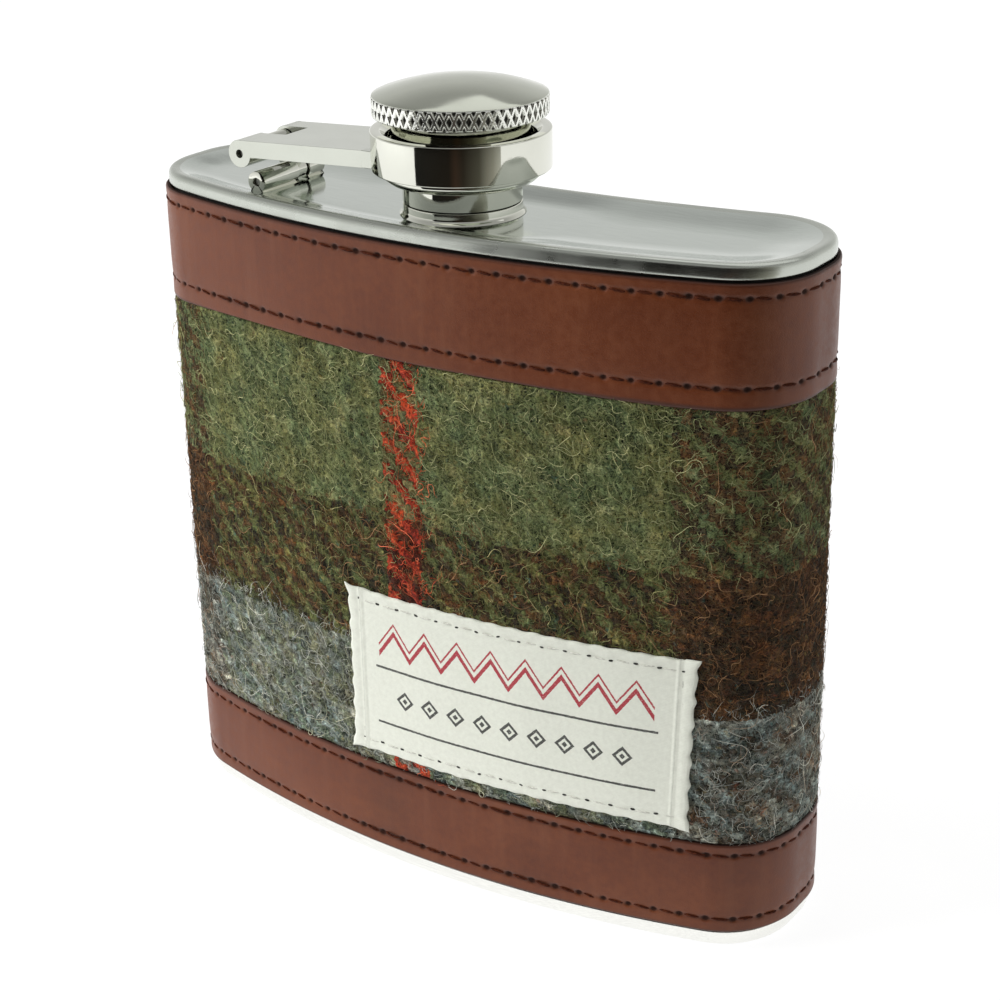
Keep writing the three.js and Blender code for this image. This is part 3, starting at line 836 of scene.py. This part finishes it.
def smooth_noise(u, v, size, seed):
    """Value noise with cells of the given size, closed round the outline."""
    wrap = 2 * HALF_LOOP
    r = np.random.default_rng(seed)
    nu = max(1, int(round(wrap / size)))
    nv = int(abs(v).max() / size) + 3
    table = r.random((nu, nv))
    a = (u + wrap) / wrap * nu
    b = np.abs(v) / size
    i, j = np.floor(a).astype(int), np.floor(b).astype(int)
    fa, fb = a - i, b - j
    fa, fb = fa * fa * (3 - 2 * fa), fb * fb * (3 - 2 * fb)
    t00, t10 = table[i % nu, j], table[(i + 1) % nu, j]
    t01, t11 = table[i % nu, j + 1], table[(i + 1) % nu, j + 1]
    return (t00 * (1 - fa) + t10 * fa) * (1 - fb) + (t01 * (1 - fa) + t11 * fa) * fb


def cloth_relief(u, v):
    """Height of the cloth in mm: twill floats, felted over, on a slowly varying thickness."""
    uu = u + 0.35 * (smooth_noise(u, v, 2.3, 21) - 0.5)
    vv = v + 0.35 * (smooth_noise(u, v, 2.3, 22) - 0.5)
    i, j = uu / THREAD, vv / THREAD
    warp_top = ((np.floor(i) + np.floor(j)) % 4) < 2
    along = np.where(warp_top, (np.floor(i) + j) % 4 - 1, (i + np.floor(j)) % 4 - 3)
    across = np.where(warp_top, i % 1, j % 1) * 2 - 1 + 0.30 * along
    crown = np.clip(1 - 0.75 * (np.abs(along) ** 3 + across ** 2), 0, 1)
    felt = smooth_noise(u, v, 0.75, 23) - 0.5
    body = smooth_noise(u, v, 9.0, 24) - 0.5
    lumps = smooth_noise(u, v, 1.5, 25) - 0.5
    return 0.24 * crown + 0.24 * felt + 0.20 * lumps + 0.12 * body


def tweed_sheet():
    """The cloth, from under one band to under the other, with its seam at the back."""
    u = around(0.27)
    fine = np.arange(bottom_high - 0.9, top_low + 0.9, 0.27)
    v = np.concatenate([np.linspace(cloth_low, fine[0], 8)[:-1], fine,
                        np.linspace(fine[-1], cloth_high, 8)[1:]])
    uu, vv = np.meshgrid(u, v)
    open_cloth = (np.clip((vv - bottom_high + 0.4) / 0.8, 0, 1)
                  * np.clip((top_low + 0.4 - vv) / 0.8, 0, 1))
    under = -0.16
    offset = under + open_cloth * (CLOTH_OUT - under + cloth_relief(uu, vv))
    offset = offset - open_cloth * 0.22 * np.exp(-(from_seam(uu) / 0.35) ** 2)
    marks = np.stack([uu, vv, offset], -1)
    return grid_object("tweed", wall(uu, offset, vv), TWEED, marks)


tweed = tweed_sheet()
finish_piece(tweed, "flask", ["tweed_panel"])


def u_at_x(x):
    """The u of a place on the front, from its x."""
    front = int(np.argmax(WALL_P[:, 0]))
    return math.copysign(float(np.interp(abs(x), WALL_P[:front, 0], WALL_S[:front])), x)


LABEL_U = tuple(u_at_x(corner[0]) for corner in box_mm("label"))
LABEL_V = low_high("label")


def fibres(name, count, material, seed, reach, lengths, low, high, width, rings, curl):
    """Loose wool fibres as thin three-sided tubes that leave the cloth and curl back to it.
    Those that would cross the label or run under a band are left out."""
    r = np.random.default_rng(seed)
    u = r.uniform(-HALF_LOOP, HALF_LOOP, count)
    v = r.uniform(low, high, count)
    heading = r.uniform(0, 2 * math.pi, count)
    bend, curls = r.normal(0, 1.3, count), r.uniform(0.6, 1.7, count)
    phase, swing = r.uniform(0, 2 * math.pi, count), np.abs(r.normal(0, curl, count))
    length = r.uniform(*lengths, count)
    height = np.abs(r.normal(0, 1, count)) * reach + 0.05
    lean = r.uniform(0.15, 1.0, count)
    thickness = width * r.uniform(0.6, 1.3, count)
    odd = r.random(count)
    t = np.linspace(0, 1, rings)[None, :]
    turn = (heading[:, None] + bend[:, None] * (t - 0.3)
            + swing[:, None] * np.sin(2 * math.pi * curls[:, None] * t + phase[:, None]))
    step = length[:, None] / (rings - 1)
    du = np.cumsum(np.cos(turn) * step, 1) - np.cos(turn[:, :1]) * step
    dv = np.cumsum(np.sin(turn) * step, 1) - np.sin(turn[:, :1]) * step
    arch = np.sin(math.pi * np.clip(t * (0.55 + 0.45 * lean[:, None]), 0, 1))
    lift = CLOTH_OUT + 0.12 + height[:, None] * arch
    uu, vv = u[:, None] + du, v[:, None] + dv
    on_label = ((uu > LABEL_U[0] + 0.2) & (uu < LABEL_U[1] - 0.2)
                & (vv > LABEL_V[0] + 0.2) & (vv < LABEL_V[1] - 0.2)).any(1)
    past_edge = ((vv < low - 0.9) | (vv > high + 0.9)).any(1)
    keep = ~(on_label | past_edge)
    u, v, odd, thickness, count = u[keep], v[keep], odd[keep], thickness[keep], int(keep.sum())
    middle = wall(uu[keep], lift[keep], vv[keep])
    along = np.gradient(middle, axis=1)
    along /= np.linalg.norm(along, axis=2, keepdims=True) + 1e-9
    side = np.cross(along, np.array([0.3, 0.2, 0.93]))
    side /= np.linalg.norm(side, axis=2, keepdims=True) + 1e-9
    up = np.cross(along, side)
    thick = thickness[:, None] * (1 - 0.75 * t ** 2)
    a = full_turn(3)
    p = (middle[:, :, None, :]
         + thick[:, :, None, None] * (np.cos(a)[None, None, :, None] * side[:, :, None, :]
                                      + np.sin(a)[None, None, :, None] * up[:, :, None, :]))
    quads = grid_faces(rings, 3, False, True)
    faces = (quads[None] + (np.arange(count) * rings * 3)[:, None, None]).reshape(-1, 4)
    marks = np.stack([np.repeat(q, rings * 3) for q in (u, v, odd)], -1)
    return new_object(name, p.reshape(-1, 3), faces, material, marks)


CLOTH_RANGE = (bottom_high + 0.1, top_low - 0.1)
nap = fibres("tweed_nap", 30000, NAP, 31, 0.13, (0.9, 2.6), *CLOTH_RANGE, 0.036, 5, 0.9)
finish_piece(nap, "flask", [])
strays = fibres("tweed_strays", 5200, FUZZ, 32, 0.30, (2.0, 6.0), *CLOTH_RANGE, 0.040, 11, 1.2)
finish_piece(strays, "flask", [])

# ---------------------------------------------------------------------------
# Label
# ---------------------------------------------------------------------------
STITCH_LABEL = 2.9
SEWN_IN_U, SEWN_IN_V = 1.75, 1.55  # the stitch rows' distance from the label's edges
LABEL_LOOK = label_material("label_weave", *LABEL_U, *LABEL_V)


def label_sheet():
    """The label, sewn down along its four sides and puffed a little between them."""
    u = np.linspace(*LABEL_U, 240)
    v = np.linspace(*LABEL_V, 120)
    uu, vv = np.meshgrid(u, v)
    au = (uu - LABEL_U[0]) / (LABEL_U[1] - LABEL_U[0])
    av = (vv - LABEL_V[0]) / (LABEL_V[1] - LABEL_V[0])
    side = np.minimum(uu - LABEL_U[0], LABEL_U[1] - uu)
    end = np.minimum(vv - LABEL_V[0], LABEL_V[1] - vv)
    edge = np.minimum(side, end)
    up_down, left_right = np.sign(av - 0.5), np.sign(au - 0.5)
    # the stitches draw the edge in a little, the corners stand out
    draw_v = (0.07 * np.sin(2 * math.pi * uu / STITCH_LABEL + 0.6)
              + 0.05 * slow_wave(uu * 3, 43, 1.0))
    draw_u = (0.13 * np.sin(2 * math.pi * vv / STITCH_LABEL)
              + 0.05 * np.sin(2 * math.pi * vv / 1.7 + 1))
    corner = np.exp(-(side + end) / 1.4)
    vv2 = vv + (draw_v * np.exp(-end / 0.8) + 0.30 * corner) * up_down
    uu2 = uu + (draw_u * np.exp(-side / 0.8) + 0.45 * corner) * left_right
    uu2 = uu2 - 1.1 * (1 - av) * np.clip(au * 2 - 1, 0, 1)
    # held down along the stitching, puffed a little between, with folded hems left and right
    lift = 0.60 + 0.10 * np.sin(math.pi * au) * np.sin(math.pi * av)
    lift += 0.04 * np.sin(2 * math.pi * (uu / 13.0)) * np.sin(math.pi * av)
    for distance, along in ((side - SEWN_IN_U, vv), (end - SEWN_IN_V, uu)):
        pulled = 0.5 + 0.5 * np.cos(2 * math.pi * along / STITCH_LABEL)
        lift -= (0.08 + 0.07 * pulled) * np.exp(-(distance / 0.45) ** 2)
    lift += 0.17 / (1 + np.exp((side - 2.35) / 0.06)) + 0.07 / (1 + np.exp((end - 2.1) / 0.06))
    lift += 0.05 * np.exp(-edge / 0.6) * np.sin(2 * math.pi * (uu + vv) / 3.7) + 0.22 * corner
    lift -= 0.30 * np.exp(-edge / 0.12)
    lift = np.clip(lift, 0.34, 1.05)
    marks = np.stack([uu, vv, lift], -1)
    obj = grid_object("label_cloth", wall(uu2, lift, vv2), LABEL_LOOK, marks, wrap=(False, False))
    solid = obj.modifiers.new("thickness", "SOLIDIFY")
    solid.thickness, solid.offset = 0.22 * MM, -1
    return obj


label = label_sheet()
finish_piece(label, "flask", ["label"])
THREAD_WHITE = thread_material("thread_white", (0.50, 0.50, 0.44), (0.70, 0.70, 0.64))
# painted shade: a dark material for the needle holes between the white stitches
NEEDLE_HOLE_SHADE = dull_material("needle_hole_shade", (0.012, 0.012, 0.010), (0.05, 0.05, 0.045), 0.9, 2000)


def label_stitches(name, material, part, radius, seed):
    """Hand-sized running stitches round the label; part is the share of the pitch they cover."""
    r = np.random.default_rng(seed)
    left, right = LABEL_U[0] + SEWN_IN_U, LABEL_U[1] - SEWN_IN_U
    low, high = LABEL_V[0] + SEWN_IN_V, LABEL_V[1] - SEWN_IN_V
    corners = [(left, high), (right, high), (right, low), (left, low), (left, high)]
    t = np.linspace(0, 1, 7)
    a = full_turn(6)
    found = []
    for (u0, v0), (u1, v1) in zip(corners, corners[1:]):
        run = math.hypot(u1 - u0, v1 - v0)
        du, dv = (u1 - u0) / run, (v1 - v0) / run
        count = int(run / STITCH_LABEL)
        for k in range(count):
            s = (k + part[0] + 0.03 * r.normal() + t * (part[1] - part[0])) * run / count
            skew = 0.05 * r.normal() + 0.10 * (t - 0.5) * r.normal()
            uu, vv = u0 + du * s - dv * skew, v0 + dv * s + du * skew
            rise = 0.585 - 0.16 * np.abs(2 * t - 1) ** 3
            thick = radius * (1 - 0.45 * np.abs(2 * t - 1) ** 2)
            off = thick[:, None] * np.cos(a)
            up = thick[:, None] * 0.8 * np.sin(a)
            found.append(wall(uu[:, None] - dv * off, rise[:, None] + up, vv[:, None] + du * off))
    return tubes(name, material, found)


label_thread = label_stitches("label_thread", THREAD_WHITE, (0.16, 0.90), 0.13, 51)
finish_piece(label_thread, "flask", [])
# painted shade: short dark pieces at the needle holes, between the white stitches
label_hole_shade = label_stitches("label_needle_hole_shade", NEEDLE_HOLE_SHADE, (0.91, 1.15), 0.15, 52)
finish_piece(label_hole_shade, "flask", [])

# ---------------------------------------------------------------------------
# Neck, spout and cap
# ---------------------------------------------------------------------------
# radii of the spout's bore, wall and thread crest, and the thread's pitch
SPOUT_BORE, SPOUT_R, CREST_R, PITCH = 5.0, 5.75, 6.2, 1.6


def radius_of(node):
    """Half the width of a CAD node in x, in mm."""
    low, high = box_mm(node)
    return (high[0] - low[0]) / 2


def spout_mesh():
    """The neck: a flange under the plate, a thread of two and a half turns and a plain bore."""
    steps = 120
    a = full_turn(steps)
    zs = np.concatenate([[-1.9, -1.9, -1.12, -1.1], np.linspace(-1.05, 7.62, 96), [7.75, 7.9, 8.0]])
    base_r = np.concatenate([[5.3, 7.15, 7.15, SPOUT_R], np.full(96, SPOUT_R), [5.7, 5.58, 5.35]])
    z, th = np.meshgrid(zs, a, indexing="ij")
    r = np.repeat(base_r[:, None], steps, 1)
    turns = (z - 2.4) / PITCH - th / (2 * math.pi)
    frac = np.abs((turns + 0.5) % 1 - 0.5) * PITCH
    along = np.round(turns) + th / (2 * math.pi)
    fade = np.clip(np.minimum(along, 2.6 - along) * 5, 0, 1) * ((z > 1.5) & (z < 7.6))
    ridge = np.clip((0.46 - frac) / 0.30, 0, 1)
    outer = about_neck(r + (CREST_R - SPOUT_R) * ridge * fade, th, z)
    bore = np.array([(SPOUT_BORE + 0.12, 8.0), (SPOUT_BORE, 7.85), (SPOUT_BORE, 4.0),
                     (SPOUT_BORE, 0.0), (SPOUT_BORE, -1.8), (SPOUT_BORE + 0.12, -1.9)])
    p = np.concatenate([outer, about_neck(bore[:, :1], a, bore[:, 1:])])
    return merged_smooth(grid_object("spout_thread", p, BRUSHED, wrap=(True, True)), 55)


finish_piece(spout_mesh(), "flask", ["spout"])

collar = turned("collar", rounded(
    [(5.86, 0.03), (7.95, 0.03), (7.62, 0.42), (7.5, 0.62), (7.5, 1.5), (5.86, 1.5)],
    [0.02, 0.05, 0.2, 0.15, 0.14, 0.1]), CHROME, closed=True)
finish_piece(collar, "flask", ["neck_collar"])

knob_high = low_high("cap_knob")[1]
KNOB_R = radius_of("cap_knob")
KNURL_LOW, KNURL_HIGH, DIAMONDS = 12.25, 14.78, 58


def knob_mesh():
    """Domed knob. Its rim is cut with a crossed knurl, whose ridges stand at the rim's radius."""
    steps = DIAMONDS * 14
    a = full_turn(steps)
    rows = 33
    v = np.linspace(0, 1, rows)
    band_z = KNURL_LOW + 0.10 + (KNURL_HIGH - KNURL_LOW - 0.20) * v
    x = a / (2 * math.pi) * DIAMONDS
    cell = 2 * math.pi * KNOB_R / DIAMONDS
    y = (band_z - KNURL_LOW) / (2.15 * cell) + 0.04
    one = np.abs((x[None, :] + y[:, None]) % 1 - 0.5) * 2
    two = np.abs((x[None, :] - y[:, None]) % 1 - 0.5) * 2
    ridge = np.maximum(one, two)
    ridge = np.clip((ridge - 0.28) / 0.42, 0, 1)
    fade = np.clip(np.minimum(v, 1 - v) * 16, 0, 1)[:, None]
    r = KNOB_R - 0.44 * (1 - ridge) * fade - 0.10 * (1 - fade)
    knurl = about_neck(r, a, band_z[:, None])

    def plain(points):
        points = np.array(points)
        return about_neck(points[:, :1], a, points[:, 1:])

    under = [(0, 10.4), (7.6, 10.4), (7.65, 10.35), (7.65, 5.65), (7.72, 5.6), (8.5, 5.6),
             (8.6, 5.7), (8.6, 12.05), (8.66, 12.2), (8.8, KNURL_LOW), (KNOB_R - 0.55, KNURL_LOW),
             (KNOB_R - 0.3, KNURL_LOW + 0.04)]
    rim, dome_low = KNOB_R * 0.985, KNURL_HIGH + 0.06
    dome = [(rim * (1 - q), dome_low + (knob_high - dome_low) * (1 - (1 - q) ** 2))
            for q in np.linspace(0, 1, 22)[1:]]
    over = [(KNOB_R - 0.14, KNURL_HIGH - 0.05), (KNOB_R - 0.10, KNURL_HIGH - 0.01),
            (rim - 0.02, KNURL_HIGH + 0.05), *dome]
    p = np.concatenate([plain(under), knurl, plain(over)])
    depth = np.concatenate([np.ones((len(under), steps)), ridge * fade + 1 - fade,
                            np.ones((len(over), steps))])
    marks = np.stack([np.zeros_like(depth), np.zeros_like(depth), depth], -1)
    obj = grid_object("knob", p, CHROME, marks)
    for material in (KNURL, DOME):
        obj.data.materials.append(material)
    ring_row = np.repeat(np.arange(len(p) - 1), steps)
    kind = np.where(ring_row < len(under), 0, np.where(ring_row < len(under) + rows, 1, 2))
    obj.data.polygons.foreach_set("material_index", kind.astype(np.int32))
    return merged_smooth(obj, 28)


finish_piece(knob_mesh(), "cap", ["cap_knob"])


def cup_profile():
    """The cup: plain outside, with an internal thread of shallow rings inside."""
    out = [(0, 9.4), (6.85, 9.4), (7.0, 9.25)]
    for k in range(4):
        z = 7.4 - 1.6 * k
        out += [(7.0, z + 0.42), (7.12, z + 0.16), (7.12, z - 0.16), (7.0, z - 0.42)]
    return out + [(7.0, 2.0), (7.14, 1.66), (7.2, 1.62), (7.38, 1.62), (7.48, 1.68), (7.5, 1.8),
                  (7.5, 10.1), (7.42, 10.2), (0, 10.2)]


cup = turned("cup", cup_profile(), CHROME, sharp=30)
finish_piece(cup, "cap", ["cap_cup"])

flange = turned("flange", rounded(
    [(7.56, 4.2), (9.15, 4.2), (9.98, 4.95), (10.0, 5.5), (7.56, 5.5)],
    [0.05, 0.35, 0.22, 0.1, 0.05]), CHROME, closed=True, sharp=30)
finish_piece(flange, "cap", ["cap_retainer"])

seal = turned("seal", [(0, 8.1), (4.6, 8.1), (4.8, 8.22), (5.9, 8.22), (6.1, 8.1), (6.6, 8.1),
                       (6.75, 8.25), (6.75, 9.2), (6.65, 9.3), (0, 9.3)], RUBBER)
finish_piece(seal, "cap", ["cap_seal"])

ring_low, ring_high = low_high("captive_ring")
RING_R = radius_of("captive_ring")
ring = turned("ring", rounded(
    [(9.35, ring_low), (RING_R, ring_low), (RING_R, ring_high), (10.05, ring_high),
     (9.35, ring_high - 0.75)], [0.08, 0.16, 0.2, 0.1, 0.1], 4), CHROME, 160, closed=True, sharp=40)
finish_piece(ring, "arm", ["captive_ring"])


# ---------------------------------------------------------------------------
# Hinge: bevelled pieces made from the frame's own solids
# ---------------------------------------------------------------------------
def bevel_edges(obj, width, segments):
    bevel = obj.modifiers.new("edge", "BEVEL")
    bevel.width, bevel.segments = width * MM, segments
    return bevel


def bevelled(name, node, material, width):
    """The node's shape with its flat faces joined up and its edges broken."""
    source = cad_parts[node]
    bm = bmesh.new()
    bm.from_mesh(source.data)
    bmesh.ops.remove_doubles(bm, verts=bm.verts, dist=2e-6)
    bmesh.ops.dissolve_limit(bm, angle_limit=math.radians(1.5), verts=bm.verts, edges=bm.edges)
    me = bpy.data.meshes.new(name)
    bm.to_mesh(me)
    bm.free()
    me.materials.append(material)
    obj = linked(name, me)
    bevel = bevel_edges(obj, width, 3)
    bevel.limit_method, bevel.angle_limit = "ANGLE", math.radians(32)
    me.shade_smooth()
    me.set_sharp_from_angle(angle=math.radians(32))
    obj.modifiers.new("normals", "WEIGHTED_NORMAL").keep_sharp = True
    return obj


arm = bevelled("arm", "captive_arm", ARM_STEEL, 0.24)
finish_piece(arm, "arm", ["captive_arm"])


def arm_corners():
    """Brazed corners that carry the arm's flanks on to the round of the ring."""
    low, high = box_mm("captive_arm")
    half = (high[1] - low[1]) / 2 + 0.01
    x0, x1, inner = high[0] - 0.5, high[0] + 1.10, 5.0
    verts, faces = [], []
    for side in (-1, 1):
        first = len(verts)
        for z in (high[2] - 2.20, high[2] + 0.01):
            for x, dy in ((x0, half), (x1, half), (x1, inner), (x0, inner)):
                verts.append((x, AXIS_Y + side * dy, z))
        quads = [(0, 1, 2, 3), (7, 6, 5, 4), (0, 4, 5, 1), (1, 5, 6, 2), (2, 6, 7, 3), (3, 7, 4, 0)]
        faces += [tuple(first + i for i in (q if side > 0 else q[::-1])) for q in quads]
    obj = new_object("arm_corners", verts, faces, ARM_STEEL, smooth=False)
    bevel_edges(obj, 0.08, 2)
    return merged(obj)


finish_piece(arm_corners(), "arm", [])
finish_piece(bevelled("link", "hinge_link", CHROME, 0.10), "link", ["hinge_link"])


def barrel(name, node):
    """A rolled barrel on the plate: round above, drawn in below and flared where it is welded."""
    low, high = box_mm(node)
    centre_x, r = (low[0] + high[0]) / 2, radius_of(node)
    centre_z = high[2] - r
    a = np.radians(np.linspace(-52, 232, 56))
    outline = [(r * math.cos(t), r * math.sin(t)) for t in a]
    foot = FIELD - 0.04 - centre_z
    outline += [(-0.80, foot + 0.22), (-0.98, foot + 0.08), (-1.25, foot), (-0.6, foot), (0, foot),
                (0.6, foot), (1.25, foot), (0.98, foot + 0.08), (0.80, foot + 0.22)]
    outline = np.array(outline)
    turn = np.arctan2(outline[:, 1], outline[:, 0])
    hole = 0.54 * np.stack([np.cos(turn), np.sin(turn)], 1)
    end = [(hole, 0.9), (hole, 0.06), (hole * 1.10, 0), (outline * 0.91, 0),
           (outline * 0.975, 0.05), (outline, 0.16)]
    rows = [(loop, low[1] + y) for loop, y in end] + [(loop, high[1] - y) for loop, y in end[::-1]]
    p = np.array([[(centre_x + x, y, max(centre_z + z, FIELD - 0.04)) for x, z in loop]
                  for loop, y in rows])
    return merged_smooth(grid_object(name, p, CHROME), 40)


for end in ("front", "rear"):
    node = "hinge_barrel_" + end
    finish_piece(barrel("barrel_" + end, node), "flask", [node])
for name, node, body in (("pin_upper", "upper_pin", "arm"), ("pin_lower", "lower_pin", "flask")):
    finish_piece(bevelled(name, node, DARK_PIN, 0.10), body, [node])


# ---------------------------------------------------------------------------
# Floor, light and camera
# ---------------------------------------------------------------------------
def floor():
    """White paper, which glows a little so that it runs into the background."""
    k = Nodes("floor_paper")
    grain = k.noise(k.place(), 120.0, 3.0)
    k.set(Base_Color=k.mix(grain, (0.16, 0.16, 0.16), (0.19, 0.19, 0.19)), Roughness=0.85,
          Specular_IOR_Level=0.1, Emission_Color=(1.0, 1.0, 1.0), Emission_Strength=0.90)
    half = 6.0 / MM
    corners = [(-half, -half, 0), (half, -half, 0), (half, half, 0), (-half, half, 0)]
    new_object("floor", corners, [(0, 1, 2, 3)], k.m, smooth=False)


def flag_card(name, azimuths, edges, stops, diffuse):
    """A dark card unseen by the camera, between two arcs given as (radius, height). Its tone
    runs through the stops from its first azimuth to its last."""
    k = Nodes(name)
    tone = k.colours(k.split(k.attribute())[0], stops)
    k.set(Base_Color=tone, Roughness=0.9, Specular_IOR_Level=0.0)
    part = np.linspace(0, 1, 60)
    a = np.radians(azimuths[0] + (azimuths[1] - azimuths[0]) * part)
    rings = np.array([np.stack([q * np.sin(a), -q * np.cos(a), z + 0 * a], 1) for q, z in edges])
    marks = np.tile(np.stack([part, 0 * part, 0 * part], 1), (2, 1))
    obj = grid_object(name, rings / MM, k.m, marks, wrap=(False, False), smooth=False)
    for flag in ("visible_camera", "visible_shadow", "visible_transmission"):
        setattr(obj, flag, False)
    obj.visible_diffuse = diffuse
    return obj


def area_light(name, place, size, power):
    """A white rectangle of light, in metres and watts, that faces the flask's middle."""
    data = bpy.data.lights.new(name, "AREA")
    data.shape, data.size, data.size_y = "RECTANGLE", size[0], size[1]
    data.energy = power
    obj = linked(name, data)
    obj.location = place
    obj.rotation_euler = (Vector((0, 0, 0.05)) - Vector(place)).to_track_quat("-Z", "Y").to_euler()
    return obj


SKY = [(0.0, 1.0), (0.10, 0.84), (0.25, 0.72), (0.42, 0.66), (0.62, 0.44), (1.0, 0.28)]


def world_light():
    """A room that is white at the horizon and greyer overhead."""
    world = bpy.data.worlds.new("studio")
    bpy.context.scene.world = world
    world.use_nodes = True
    t = world.node_tree
    background = next(n for n in t.nodes if n.type == "BACKGROUND")
    where = t.nodes.new("ShaderNodeTexCoord")
    split = t.nodes.new("ShaderNodeSeparateXYZ")
    ramp = t.nodes.new("ShaderNodeValToRGB")
    t.links.new(where.outputs["Generated"], split.inputs[0])
    t.links.new(split.outputs["Z"], ramp.inputs[0])
    set_stops(ramp.color_ramp, [(at, (level, level, 0.985 * level)) for at, level in SKY])
    t.links.new(ramp.outputs[0], background.inputs[0])
    background.inputs[1].default_value = 1.0


# The product shot's camera: its place from the neck's foot in metres, its right and its up.
CAMERA_PLACE = (0.148573, -0.210033, 0.069205)
CAMERA_RIGHT = (0.829163, 0.558422, -0.019138)
CAMERA_UP = (-0.202, 0.332, 0.921)
SENSOR, LENS = 36.0, 76.36


def camera():
    data = bpy.data.cameras.new("camera")
    data.sensor_width, data.lens = SENSOR, LENS
    data.clip_start, data.clip_end = 0.01, 50
    obj = linked("camera", data)
    place = Vector(CAMERA_PLACE) + Vector((0, AXIS_Y, FIELD)) * MM
    right = Vector(CAMERA_RIGHT).normalized()
    up = Vector(CAMERA_UP)
    up = (up - up.dot(right) * right).normalized()
    rotation = Matrix((right, up, right.cross(up))).transposed()
    obj.matrix_world = Matrix.Translation(place) @ rotation.to_4x4()
    bpy.context.scene.camera = obj


floor()
ROOM = [(0.0, (0.010, 0.010, 0.009)), (0.40, (0.014, 0.011, 0.008)), (0.47, (0.040, 0.024, 0.016)),
        (0.56, (0.028, 0.022, 0.016)), (0.74, (0.085, 0.080, 0.062)), (0.90, (0.34, 0.33, 0.28)),
        (1.0, (0.62, 0.62, 0.56))]
# metal sees the first two cards, and everything else the first and the last
flag_card("flag_table", (-25, 84), [(0.150, 0.003), (3.0, 0.003)], ROOM, True)
flag_card("flag_room", (-25, 84), [(3.0, 0.0), (3.0, 2.3)], ROOM, False)
flag_card("flag_soft", (-25, 52), [(3.1, 0.0), (3.1, 2.3)], ROOM, True).visible_glossy = False
world_light()
# the key light is unseen in the metal, and a weaker one at its place gives its gleam
KEY_PLACE = (-0.66, -0.42, 0.48)
area_light("key", KEY_PLACE, (0.60, 0.60), 9.2).visible_glossy = False
area_light("gleam", KEY_PLACE, (0.60, 0.60), 1.8)
area_light("top", (0.05, 0.25, 0.85), (1.0, 0.7), 1.5)
camera()
bpy.context.scene.view_settings.view_transform = "Standard"
